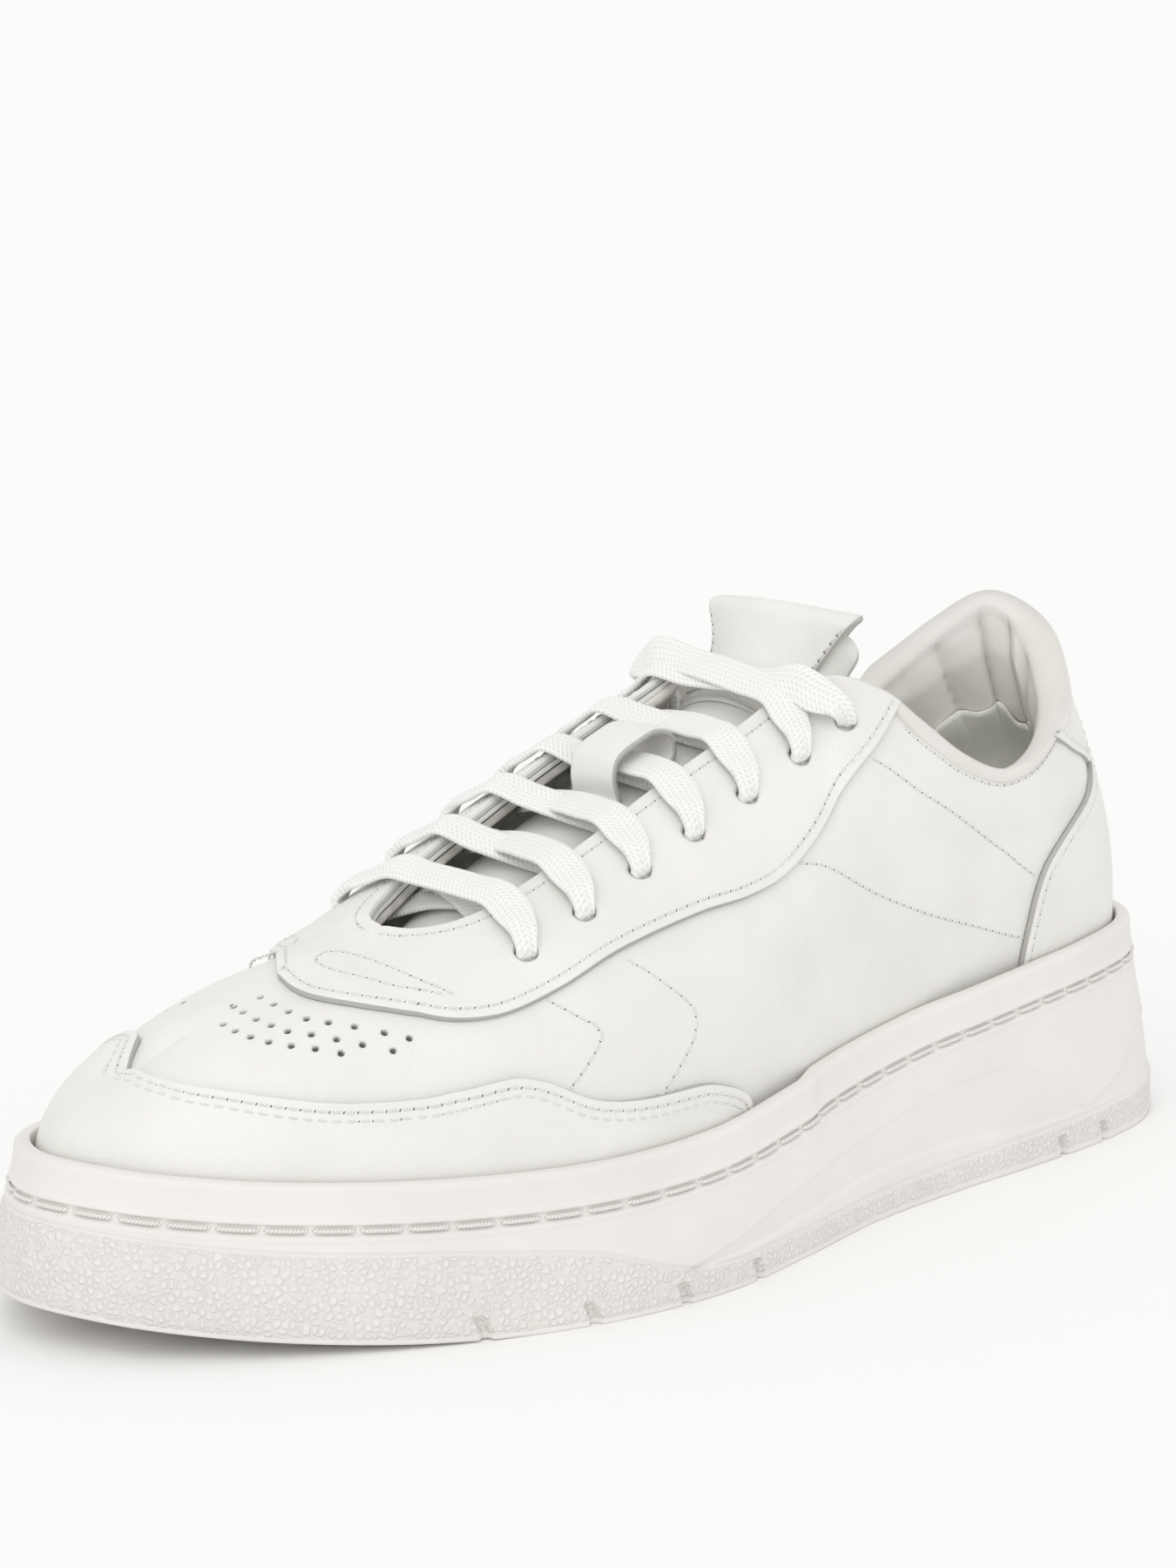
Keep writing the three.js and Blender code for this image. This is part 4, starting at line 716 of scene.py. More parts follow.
# A row of stitches along a line: short threads that dip into the leather at both ends
class Stitches(Piece):
    def row(self, line, side, offset, pitch=2.75, radius=0.24):
        places = evenly(line, side, pitch)
        lift = offset(places[:, 0], places[:, 1]) if callable(offset) else offset
        centre, normal = onUpper(places[:, 0], places[:, 1], side, lift)
        self.threads(centre, normal, unit(np.gradient(centre, axis=0)), 2.3, radius)

    def threads(self, centre, normal, run, length, radius, sink=0.4):
        wide = unit(np.cross(normal, run))
        up = unit(np.cross(run, wide))
        self.needleHoleShades(centre, run, wide, up)
        t = np.array([-1, -0.93, -0.78, -0.5, 0, 0.5, 0.78, 0.93, 1.0])
        size = np.array([0.35, 0.7, 0.92, 1, 1, 1, 0.92, 0.7, 0.35]) * radius
        rise = -sink * np.abs(t) ** 3.2 + radius * 0.35
        angle = np.linspace(0, 2 * np.pi, 8)
        ring = np.stack([np.cos(angle), np.sin(angle)], -1)
        points = (centre[:, None, None] + run[:, None, None] * (t * length / 2)[None, :, None, None]
                  + up[:, None, None] * rise[None, :, None, None]
                  + wide[:, None, None] * (size[:, None] * ring[None, :, 0])[None, :, :, None]
                  + up[:, None, None] * (size[:, None] * ring[None, :, 1])[None, :, :, None])
        uv = stack((t * length / 2)[:, None], (angle / 2 / np.pi)[None, :])
        for loop in points:
            self.grid(loop, uv=uv, flip=True)

    # painted shade: a slanted flat dark disc between each stitch and the next stands for the shadow in the needle
    # hole
    def needleHoleShades(self, centre, run, wide, up, radius=0.36):
        middle = (centre[:-1] + centre[1:]) / 2
        angle = np.linspace(0, 2 * np.pi, 9)
        ring = np.stack([np.cos(angle) * 0.62 + np.sin(angle) * 0.35, np.sin(angle)], -1)
        for i, place in enumerate(middle):
            size = np.array([0.03, 0.7, 1.0])[:, None] * radius
            rise = np.array([0.05, 0.05, -0.04])[:, None]
            points = (place + run[i] * (ring[None, :, 0] * size)[..., None]
                      + wide[i] * (ring[None, :, 1] * size)[..., None] + up[i] * rise[..., None])
            self.grid(points, look=1)


def eyeletPlaces(side, offset=1.7):
    pv = np.array(lines["eyelets"])
    points, normals = onUpper(pv[:, 0], pv[:, 1], side, offset)
    return [(points[i], normals[i]) for i in range(len(pv))]


toeCapLine = {1: curve(lines["toeCap"], 420), -1: curve(lines["toeCapInner"], 420)}
eyestayLine = {1: curve(lines["eyestay"], 420), -1: curve(lines["eyestayInner"], 420)}
counterLine = curve(lines["counter"], 160)
tabLine = curve(lines["tab"], 90)
holeRadius = 2.5


# Fullness of the leather over the padded collar
def shellOffset(p, v):
    collar = smoothStep(0.44, 0.36, p) * smoothStep(0.62, 0.78, v) * smoothStep(1.02, 0.9, v)
    return 0.7 * collar


def makeShell():
    piece = Piece("shellLeather")
    for side in (1, -1):
        ps = np.linspace(0, last["ridgeStart"], 306)
        vs = np.concatenate([np.linspace(-0.3, 0.9, 100), np.linspace(0.9, 1, 16)[1:]])
        pGrid, vGrid = np.meshgrid(ps, vs, indexing="ij")
        points, normals = onUpper(pGrid, vGrid, side, shellOffset(pGrid, vGrid))
        # turned top edge of the collar and throat
        up = unit(points[:, -1] - points[:, -3])
        turned = ((0.12, 0.22), (0.45, 0.42), (0.9, 0.42), (1.3, 0.2))
        extra = [points[:, -1] - normals[:, -1] * inward + up * rise for inward, rise in turned]
        points = np.concatenate([points, np.stack(extra, 1)], axis=1)
        piece.grid(points, flip=side > 0)
        ps = np.linspace(last["ridgeStart"], 1, 215)
        vs = np.concatenate([np.linspace(-0.3, 0.3, 40), np.linspace(0.3, 1, 190)[1:]])
        pGrid, vGrid = np.meshgrid(ps, vs, indexing="ij")
        points, normals = onUpper(pGrid, vGrid, side)
        centres = []
        for row in lines["vents"]:
            pv = np.array(row if side > 0 else row[4:])
            at, axis = onUpper(pv[:, 0], pv[:, 1], side)
            centres += [(at[i], axis[i]) for i in range(len(pv))]
        points, share = punch(points, normals, centres, 0.82, 1.0, 0.2)
        piece.grid(points, share=share, flip=side > 0)
    return piece.finish([leatherFace], "leather", "shell_leather")


def makeOverlays():
    cap = Piece("toeCap")
    stay = Piece("eyestay")
    counter = Piece("heelCounter")
    tab = Piece("heelTab")
    for side in (1, -1):
        panelGrid(cap, toeCapLine[side], below(toeCapLine[side], -0.15), side, rows=46)
        stayP = eyestayLine[side][:, 0]
        far = below(eyestayLine[side], 1.0)
        far[:, 0] += 0.03 * smoothStep(0.48, 0.417, stayP) - 0.055 * smoothStep(0.79, 0.869, stayP)
        throat = smoothStep(0.793, 0.786, far[:, 0]) * smoothStep(0.44, 0.47, far[:, 0])
        panelGrid(stay, eyestayLine[side], far, side, rows=48, farEdge=throat,
                  holes=(eyeletPlaces(side), holeRadius, 2.6))
        drop = 0.1 * smoothStep(0.5, 0.72, counterLine[:, 1])
        far = np.column_stack([np.zeros(len(counterLine)), counterLine[:, 1] - drop])
        panelGrid(counter, counterLine, far, side, rows=60)
        far = np.column_stack([np.zeros(len(tabLine)), np.linspace(0.79, 1, len(tabLine))])
        panelGrid(tab, tabLine, far, side, rows=40)
    cap.finish([leatherFace], "leather", "toe_cap")
    stay.finish([leatherFace], "leather", "eyestay")
    counter.finish([leatherFace], "leather", "heel_counter")
    tab.finish([leatherFace], "leather", "heel_tab")


def makeStitches():
    seams = Stitches("upperStitches")
    top = panelEdge["height"]
    for side in (1, -1):
        for inward in (1.8, 3.5):
            seams.row(shiftLine(toeCapLine[side][20:], side, -inward), side, top - 0.05)
        seams.row(shiftLine(eyestayLine[side][6:], side, 2.0), side, top - 0.05)
        seams.row(shiftLine(counterLine[:-18], side, -2.0), side, top - 0.05)
        seams.row(shiftLine(tabLine, side, 2.0), side, top - 0.05)
        throat = curve([[p, 1.0] for p in np.linspace(0.485, 0.789, 14)], 200)
        seams.row(shiftLine(throat, side, -2.6), side, top)
        for line in lines["chevrons"] + lines["rear"]:
            seams.row(curve(line, 120), side, shellOffset)
        for line in lines["leaf"]:
            place = curve(line, 90) - (np.array([0.05, 0.2]) if side < 0 else 0)
            seams.row(place, side, top)
    return seams.finish([threadFace, needleShadeFace], "thread", weld=False)


makeShell()
makeOverlays()
makeStitches()
print("upper made")


# Inside of the upper: padded collar lining with pleats at the heel, textile lining, heel grip
inside = {"pad": 5.2, "padEnd": 0.45, "pleatPitch": 0.041, "pleatDepth": 2.2}


def liningDepth(p, v):
    along = 1 - smoothStep(inside["padEnd"] - 0.09, inside["padEnd"] + 0.02, p)
    up = smoothStep(0.5, 0.74, v) * (1 - 0.55 * smoothStep(0.88, 1, v))
    return 2.9 + (inside["pad"] - 0.9) * along * up


# deep creases run down from the topline behind the heel, with soft rolls between them
def pleats(p, v):
    reach = smoothStep(0.13, 0.1, p) * smoothStep(0.6, 0.74, v) * smoothStep(1.0, 0.95, v)
    place = p - 0.045 * (v - 0.78) * np.clip(p / 0.03, 0, 1)
    roll = np.abs(np.sin(place * np.pi / inside["pleatPitch"])) ** 0.5
    return inside["pleatDepth"] * reach * (roll - 0.55)


collarFoot = smoothRows([[0, 0.3], [0.2, 0.3], [0.4, 0.35], [0.556, 0.4]])


def makeCollar():
    collar = Piece("collarLining")
    for side in (1, -1):
        ps = np.linspace(0, 0.556, 240)
        foot = collarFoot(ps)[:, 0]
        t = np.linspace(0, 1, 80)
        vGrid = foot[:, None] + (0.985 - foot[:, None]) * t[None, :]
        pGrid = np.broadcast_to(ps[:, None], vGrid.shape)
        points, normals = onUpper(pGrid, vGrid, side, -(liningDepth(pGrid, vGrid) + pleats(pGrid, vGrid) + 0.4))
        top, topNormal = onUpper(ps, np.ones_like(ps), side)
        up = unit(top - onUpper(ps, np.full_like(ps, 0.985), side)[0])
        depth = liningDepth(ps, np.full_like(ps, 0.985)) + 0.4
        roll = []
        for share, rise in ((0.96, 0.2), (0.82, 0.75), (0.62, 0.95), (0.42, 0.85)):
            inward = np.maximum(depth * share, 1.35)
            roll.append(top - topNormal * inward[:, None] + up * rise)
        wrapped = smoothStep(0.478, 0.462, ps)
        base = (0.12 + 1.62 * smoothStep(0.165, 0.14, ps)) * wrapped - 1.4 * (1 - wrapped)
        edgeV = smoothRows(lines["piping"])(ps)[:, 0]
        edgeV = 1 - (1 - edgeV) * wrapped
        outside = []
        for share, full in ((0.97, 0.9), (0.75, 1.1), (0.5, 1.15), (0.25, 1.0), (0.1, 0.75), (0, 0.3), (0, -0.15)):
            place = onUpper(ps, edgeV + (1 - edgeV) * share, side, base + full * wrapped)[0]
            outside.append(place + up * (0.75 * smoothStep(0.5, 1.0, share) * wrapped)[:, None])
        points = np.concatenate([points, np.stack(roll, 1), np.stack(outside, 1)], axis=1)
        edge = np.full(points.shape[1], 9.0)
        edge[-1] = 0.1
        collar.grid(points, edge=edge, flip=side < 0)
    collar.finish([liningFace], "lining_leather", "collar_lining", "collar_foam")


def makeTextileLinings():
    quarter = Piece("quarterLining")
    vamp = Piece("vampLining")
    for side in (1, -1):
        ps = np.linspace(0, 0.556, 120)
        top = collarFoot(ps)[:, 0] + 0.02
        vGrid = -0.3 + (top[:, None] + 0.3) * np.linspace(0, 1, 40)[None, :]
        pGrid = np.broadcast_to(ps[:, None], vGrid.shape)
        quarter.grid(onUpper(pGrid, vGrid, side, -(liningDepth(pGrid, vGrid) + 0.6))[0], flip=side < 0)
        ps = np.linspace(0.55, 1, 120)
        vGrid, pGrid = np.meshgrid(np.linspace(-0.3, 1, 70), ps)
        points, normals = onUpper(pGrid, vGrid, side, -3.3)
        top, topNormal = onUpper(ps, np.ones_like(ps), side)
        split = (ps < last["ridgeStart"] - 0.004)[:, None]
        wall = [np.where(split, top - topNormal * d, points[:, -1]) for d in (2.6, 2.0, 1.6)]
        vamp.grid(np.concatenate([points, np.stack(wall, 1)], axis=1), flip=side < 0)
    quarter.finish([textileFace], "lining_textile", "quarter_lining")
    vamp.finish([textileFace], "lining_textile", "vamp_lining", "facing_reinforcement_outer",
                "facing_reinforcement_inner")


def makeHeelGrip():
    grip = Piece("heelGrip")
    crown = smoothRows([[0, 0.68], [0.01, 0.685], [0.016, 0.72], [0.025, 0.733], [0.04, 0.722], [0.055, 0.713],
                        [0.067, 0.72], [0.077, 0.744], [0.09, 0.746], [0.102, 0.734], [0.12, 0.7], [0.15, 0.62],
                        [0.175, 0.5], [0.19, 0.4]])
    for side in (1, -1):
        ps = np.linspace(0, 0.19, 150)
        vGrid = 0.05 + (crown(ps)[:, 0][:, None] - 0.05) * np.linspace(0, 1, 40)[None, :]
        pGrid = np.broadcast_to(ps[:, None], vGrid.shape)
        depth = liningDepth(pGrid, vGrid) + 1.9 + 0.5 * pleats(pGrid, vGrid)
        edge = np.concatenate([np.linspace(16, 0.5, 39), [0.3]])
        points, normals = onUpper(pGrid, vGrid, side, -depth)
        wall = points[:, -1] + normals[:, -1] * 0.9
        points = np.concatenate([points, wall[:, None]], axis=1)
        grip.grid(points, edge=np.concatenate([edge, [0.0]]), flip=side < 0)
    grip.finish([suedeFace], "lining_leather", "heel_grip")


makeCollar()
makeTextileLinings()
makeHeelGrip()


def makeCollarStitches():
    seam = Stitches("collarStitches")
    edge = smoothRows(lines["piping"])
    for side in (1, -1):
        line = curve([[p, edge(p)[0] - 0.012] for p in np.linspace(0.165, 0.41, 14)], 160)
        seam.row(line, side, shellOffset, pitch=2.9, radius=0.18)
    return seam.finish([threadFace, needleShadeFace], "thread", weld=False)


makeCollarStitches()

# The removable footbed: dished cloth-covered foam
footbed = {"inset": 9.9, "middleInset": 22, "boardTop": 2.1, "thickness": 3.1, "crown": 0.8}


def makeFootbed():
    piece = Piece("footbed", "footbed")
    ps = np.linspace(0, 1, 200)
    for side in (1, -1):
        around = outline(ps, side)
        edge = insetPlace(around, upperInset(ps) + footbed["inset"])
        middle = middleLine(around, ps, side, upperInset(ps) + footbed["middleInset"])
        t = np.linspace(0, 1, 26)[None, :, None]
        flat = edge[:, None] * (1 - t) + middle[:, None] * t
        floor = boardZ(flat[..., 0]) + footbed["boardTop"]
        rim = np.exp(-np.linspace(0, 1, 26)[None, :] * 6)
        top = floor + footbed["thickness"] + footbed["crown"] * rim
        lower = np.dstack([flat, floor + 0.05])
        whole = np.concatenate([lower[:, ::-1], np.dstack([flat, top])], axis=1)
        piece.grid(whole, flip=side < 0)
    return piece.finish([textileFace], "lining_textile", "sockliner")


makeFootbed()

# Tongue: a padded leaf under the laces, bent up beyond the facings
tongue = {"rows": [[0.5, 17, 0.018], [0.56, 17.5, 0.0165], [0.6, 21, 0.014], [0.7, 21, 0.0155],
                   [0.77, 15, 0.018], [0.81, 11, 0.018]],
          "reach": 19, "turn": 38, "tipHalfWidth": 27, "depth": 7.9, "thickness": 6.9, "swell": 1.0,
          "tip": 1.86, "foot": 0.805, "top": 0.5}
tongueRows = smoothRows(tongue["rows"])


def tonguePoint(s, t, offset=0.0):
    s, t, offset = np.broadcast_arrays(np.asarray(s, float), np.asarray(t, float), np.asarray(offset, float))
    p = tongue["foot"] + (tongue["top"] - tongue["foot"]) * np.minimum(s, 1)

    def mid(q):
        return (upperPoint(q, 1, 1) + upperPoint(q, 1, -1)) / 2
    along = mid(p - 0.012) - mid(p + 0.012)
    along[..., 1] = 0
    along = unit(along)
    up = np.stack([along[..., 2], np.zeros_like(p), -along[..., 0]], -1)
    row = tongueRows(p)
    halfWidth, arch = row[..., 0], row[..., 1]
    edges = upperPoint(p, 1, 1) - upperPoint(p, 1, -1)
    edgeY = np.where(p > 0.79, 0, np.abs(edges[..., 1]) / 2)
    centre = mid(p) - up * (tongue["depth"] - arch * edgeY**2)[..., None]
    turn = math.radians(tongue["turn"])
    angle = turn * np.maximum(s - 1, 0)
    radius = tongue["reach"] / turn
    centre = centre + along * (radius * np.sin(angle))[..., None] + up * (radius * (1 - np.cos(angle)))[..., None]
    c, w = np.cos(angle), np.sin(angle)
    up = np.stack([up[..., 0] * c + up[..., 2] * w, up[..., 1], -up[..., 0] * w + up[..., 2] * c], -1)
    bend = np.maximum(s - 1, 0) ** 2
    halfWidth = halfWidth + (tongue["tipHalfWidth"] - halfWidth) * bend
    arch = arch * (1 - 0.5 * bend)
    tilt = np.where(p > 0.79, 0, (edges * up).sum(-1) / np.where(np.abs(edges[..., 1]) < 1, 1, edges[..., 1]))
    y = t * halfWidth
    lift = offset + tilt * y - arch * y * y
    return centre + np.stack([np.zeros_like(y), y, np.zeros_like(y)], -1) + up * lift[..., None]


# A closed padded sheet of the tongue: rounded sides and a rolled tip
def makeTongue():
    total = tongue["thickness"]
    ss = np.concatenate([np.linspace(0, 1, 110), np.linspace(1, tongue["tip"], 60)[1:]])
    leatherPart = Piece("tongueLeather", "tongue")
    liningPart = Piece("tongueLining", "tongue")
    tt = np.sin(np.linspace(-1, 1, 61) * np.pi / 2)
    sGrid, tGrid = np.meshgrid(ss, tt, indexing="ij")
    side = np.sqrt(np.maximum(1 - np.abs(tGrid) ** 8, 0))
    end = np.clip((tongue["tip"] - sGrid) / 0.22, 0, 1)
    fullness = side * np.sqrt(end * (2 - end))
    swell = tongue["swell"] * smoothStep(1.15, 1.6, sGrid) * smoothStep(1.0, 0.4, np.abs(tGrid))
    middle = -total / 2
    # the corners of the tip are rounded off
    tGrid = tGrid * (1 - 0.1 * smoothStep(1.2, 1.6, sGrid) - 0.3 * np.clip((sGrid - 1.5) / 0.36, 0, 1) ** 3)
    leatherPart.grid(tonguePoint(sGrid, tGrid, middle + (total / 2 + swell) * fullness))
    leatherPart.finish([leatherFace], "leather", "tongue_leather")
    liningPart.grid(tonguePoint(sGrid, tGrid, middle - (total / 2 + 0.5 * swell) * fullness), flip=True)
    return liningPart.finish([textileFace], "lining_textile", "tongue_lining", "tongue_foam")


makeTongue()

# Folded label sewn over the top of the tongue, with a big rolled fold at its upper edge
label = {"from": 0.93, "to": 1.84, "half": 0.84, "thickness": 1.5, "fold": 3.5}


# One closed ring per row of a sheet, so that its side edges show their thickness
def closedSheet(piece, left, face, right, under, mark):
    across = np.concatenate([[0, mark], np.full(face.shape[1] - 2, 9.0), [mark]])
    whole = np.concatenate([left, face, right, under[:, ::-1], left], axis=1)
    piece.grid(whole, edge=np.concatenate([across, across, [0]]))


def makeLabel():
    piece = Piece("tongueLabel", "tongue")
    tt = np.linspace(-1, 1, 71) * label["half"]
    # side view: front of the sheet from its sewn edge up, then round the fold and down behind
    front = np.linspace(label["from"], label["to"], 70)
    sGrid, tGrid = np.meshgrid(front, tt, indexing="ij")
    outer = tonguePoint(sGrid, tGrid, labelLift(sGrid) + 0.25 * (1 - (tGrid / label["half"]) ** 2))
    top = outer[-1]
    run = unit(outer[-1] - outer[-3])
    out = unit(np.cross(np.gradient(outer[-1], axis=0), run))
    out = out * np.sign(out @ out[len(out) // 2] * out[len(out) // 2, 2])[:, None]
    r = label["fold"]
    rolled = [top + run * r * math.sin(a) - out * r * (1 - math.cos(a))
              for a in np.linspace(0.12, np.pi * 1.06, 22)[1:]]
    back = [rolled[-1] - run * d - out * 0.05 * d for d in np.linspace(0.5, 9, 14)]
    path = np.concatenate([outer, np.stack(rolled), np.stack(back)], axis=0)
    along = unit(np.gradient(path, axis=0))
    wide = unit(np.gradient(path, axis=1))
    normal = unit(np.cross(wide, along))
    if (normal[5, 35] @ out[35]) < 0:
        normal = -normal
    h = label["thickness"] / 2
    under = path - normal * label["thickness"]
    edgeLeft = path[:, :1] - normal[:, :1] * h - wide[:, :1] * 0.35
    edgeRight = path[:, -1:] - normal[:, -1:] * h + wide[:, -1:] * 0.35
    closedSheet(piece, edgeLeft, path, edgeRight, under, 0.12)
    piece.grid(np.stack([path[0], under[0]]), edge=0.0)
    piece.finish([leatherFace], "leather", "tongue_label")


def labelLift(s):
    return 1.55 + 0.5 * smoothStep(1.0, 1.3, s) + 1.9 * smoothStep(1.25, 1.85, s)


# Threads along a run of places on the label; beside is the same run moved a little across
def labelRow(seams, line, beside):
    run = unit(np.gradient(line, axis=0))
    normal = unit(np.cross(run, beside - line))
    seams.threads(line, normal * np.sign(normal[:, 2:3]), run, 1.95, 0.25)


def makeLabelStitches():
    seams = Stitches("labelStitches", "tongue")
    for s in (0.955, 0.995):
        t = np.linspace(-0.82, 0.82, 15)
        labelRow(seams, tonguePoint(s, t, 1.85), tonguePoint(s + 0.02, t, 1.85))
    for t in (-0.82, 0.82):
        s = np.linspace(1.0, 1.8, 9)
        lift = labelLift(s) + 0.1
        labelRow(seams, tonguePoint(s, t, lift), tonguePoint(s, t + 0.03, lift))
    seams.finish([threadFace, needleShadeFace], "thread", weld=False)


makeLabel()
makeLabelStitches()

# A leather strap in the middle of the tongue that holds the laces down
keeper = {"line": [[0.6, 0.9], [0.62, 1.0], [0.636, 1.6], [0.646, 6.4], [0.663, 9.5], [0.715, 10.1], [0.75, 9.3],
                   [0.772, 6.4], [0.768, 2.2], [0.75, 1]], "width": 12.5, "flare": 3.0, "thickness": 1.3}


def makeKeeper():
    rows = np.array(keeper["line"])
    rough = tonguePoint(rows[:, 0], 0, rows[:, 1])
    key = np.concatenate([[0], np.cumsum(np.linalg.norm(np.diff(rough, axis=0), axis=1) ** 0.6)])
    path = smoothRows(np.column_stack([key, rough]).tolist())(np.linspace(0, key[-1], 70))
    run = unit(np.gradient(path, axis=0))
    away = unit(np.cross(np.array([0, 1, 0]), run))
    w = np.linspace(-0.5, 0.5, 25)
    share = np.linspace(0, 1, 70)
    width = keeper["width"] + keeper["flare"] * smoothStep(0.3, 0.0, share)
    drop = 0.0155 * (w[None, :] * width[:, None]) ** 2
    middle = path[:, None] + np.stack([np.zeros((70, 25)), w[None, :] * width[:, None], -drop], -1)
    h = keeper["thickness"] / 2
    face, under = middle + away[:, None] * h, middle - away[:, None] * h
    left = middle[:, :1] + np.array([0, -0.3, 0])
    right = middle[:, -1:] + np.array([0, 0.3, 0])
    piece = Piece("laceKeeper", "tongue")
    closedSheet(piece, left, face, right, under, 0.1)
    for end in (0, -1):
        piece.grid(np.stack([face[end], under[end]]), edge=0.0)
    return piece.finish([leatherFace], "leather", "lace_keeper")


makeKeeper()
print("tongue made")

# One flat lace: its route is the list of eyelets that it passes, from one tucked end to the other
lace = {"width": 8.0, "thickness": 1.5, "bunched": (4.3, 2.3), "over": 1.7 + 0.3 + 0.7 + 0.35,
        "under": -3.7 - 0.3 - 0.7 - 0.35,
        "tail": [[0.487, 0.85, -6.2], [0.5, 0.77, -6.6], [0.512, 0.67, -6.8], [0.53, 0.56, -7.2],
                 [0.558, 0.46, -7.8], [0.595, 0.38, -8.8], [0.635, 0.32, -10.5]],
        # eyelet, side, face on which the lace leaves it, and the lift of the stretch before it
        "stops": [(1, 1, "out", 0), (2, -1, "in", -0.6), (3, 1, "in", 1.5), (4, -1, "in", -0.4),
                  (5, 1, "in", 1.5), (6, -1, "in", -0.4), (7, 1, "out", 4.2), (7, -1, "in", 0.4),
                  (6, 1, "out", 2.2), (5, -1, "out", 1.5), (4, 1, "out", -0.4), (3, -1, "out", 1.5),
                  (2, 1, "out", -0.4), (1, -1, "in", 1.5)]}


def rawNormal(p, v, side):
    e = 0.003
    dp = upperPoint(min(p + e, 1), v, side) - upperPoint(max(p - e, 0), v, side)
    dv = upperPoint(p, min(v + e, 1), side) - upperPoint(p, max(v - e, -0.3), side)
    return unit(np.cross(dp, dv) * -side)


def laceStations():
    stations = []
    eyelets = lines["eyelets"]

    def shellPlace(side, p, v, offset):
        return upperPoint(p, v, side) + rawNormal(p, v, side) * offset

    def flat(side, p, v, offset, fill=1.0):
        width = lace["bunched"][0] + (lace["width"] - lace["bunched"][0]) * fill
        thick = lace["bunched"][1] + (lace["thickness"] - lace["bunched"][1]) * fill
        stations.append((shellPlace(side, p, v, offset), rawNormal(p, v, side), width, thick, None))

    def hole(n, side, leaves):
        p, v = eyelets[n - 1]
        wide = unit(upperPoint(p - 0.01, v, side) - upperPoint(p + 0.01, v, side))
        depths = [-4.3, -1, 2.3] if leaves == "out" else [2.3, -1, -4.3]
        for d in depths:
            stations.append((shellPlace(side, p, v, d), None, *lace["bunched"], wide))

    def edgeAt(n, other, face):
        p = eyelets[n - 1][0]
        if face == "out":
            return p + 0.022 if n == 1 else p - 0.004
        return (p + eyelets[min(n, len(eyelets) - 1)][0]) / 2 - (0.004 if n == other else 0)

    def approach(n, side, other, face, fromHole):
        p, v = eyelets[n - 1]
        edgeP = edgeAt(n, other, face)
        offset = lace["over"] + (1.9 if n == 1 else 0.35) if face == "out" else lace["under"]
        steps = [(0.22, 0.35), (0.6, 1), (1, 1)]
        for t, fill in steps if fromHole else steps[::-1]:
            bend = 0.4 * np.sign(offset) if t < 0.3 else 0
            flat(side, p + (edgeP - p) * t, v + (1 - v) * t, offset + bend, fill)

    def span(a, b, lift):
        start = stations[-1][0]
        end = shellPlace(b[1], edgeAt(b[0], a[0], b[2]), 1, lace["over"] if b[2] == "out" else lace["under"])
        middle = (eyelets[a[0] - 1][0] + eyelets[b[0] - 1][0]) / 2
        up = upperPoint(middle - 0.02, 1, 1) - upperPoint(middle + 0.02, 1, 1)
        up[1] = 0
        up = unit(up)
        normal = np.array([up[2], 0, -up[0]])
        for t in (0.25, 0.5, 0.75):
            place = start + (end - start) * t + normal * lift * 4 * t * (1 - t)
            stations.append((place, normal, lace["width"], lace["thickness"], None))

    for p, v, offset in lace["tail"][::-1]:
        flat(1, p, v, offset, 0.5)
    stops = lace["stops"]
    for i, (n, side, leaves, cross) in enumerate(stops):
        hole(n, side, leaves)
        if i + 1 == len(stops):
            break
        nextN, nextSide, nextLeaves, lift = stops[i + 1]
        nextFace = "out" if nextLeaves == "in" else "in"
        approach(n, side, nextN, leaves, True)
        span((n, side, leaves), (nextN, nextSide, nextFace), lift)
        approach(nextN, nextSide, n, nextFace, False)
    for p, v, offset in lace["tail"]:
        flat(-1, p, v, offset, 0.5)
    return stations


def makeLace():
    stations = laceStations()
    points = np.array([s[0] for s in stations])
    sizes = np.array([[s[2], s[3]] for s in stations])
    wides = []
    before = np.array([-0.9, 0, 0.4])
    for i, station in enumerate(stations):
        along = unit(points[min(i + 1, len(points) - 1)] - points[max(i - 1, 0)])
        wide = station[4] if station[4] is not None else np.cross(station[1], along)
        wide = unit(wide - along * (wide @ along))
        if wide @ before < 0:
            wide = -wide
        wides.append(wide)
        before = wide
    step = np.linalg.norm(np.diff(points, axis=0), axis=1)
    key = np.concatenate([[0], np.cumsum(np.sqrt(step))])
    read = smoothRows(np.column_stack([key, points, np.array(wides), sizes]).tolist())
    fine = np.concatenate([np.linspace(key[i], key[i + 1], max(int(step[i] / 0.55), 3) + 1)[:-1]
                           for i in range(len(key) - 1)] + [[key[-1]]])
    table = read(fine)
    path, wide, width, thick = table[:, :3], table[:, 3:6], table[:, 6], table[:, 7]
    along = unit(np.gradient(path, axis=0))
    wide = unit(wide - along * (wide * along).sum(1, keepdims=True))
    up = np.cross(along, wide)
    length = np.concatenate([[0], np.cumsum(np.linalg.norm(np.diff(path, axis=0), axis=1))])
    angle = np.linspace(-np.pi, np.pi, 37)
    c, s = np.cos(angle), np.sin(angle)
    across = np.sign(c) * np.abs(c) ** 0.55
    height = np.sign(s) * np.abs(s) ** 0.8
    bunch = 1 - smoothStep(4.6, 7.5, width)
    ridge = 1 + 0.16 * bunch[:, None] * np.cos(across[None, :] * 7)
    ring = (path[:, None] + wide[:, None] * (across[None, :] * width[:, None] / 2)[..., None]
            + up[:, None] * (height[None, :] * ridge * thick[:, None] / 2)[..., None])
    uv = stack(length[:, None], across[None, :] * width[:, None] / 2)
    piece = Piece("lace")
    piece.grid(ring, uv=uv, flip=True)
    return piece.finish([laceFace], "lace", "lace")


makeLace()
print("lace made")

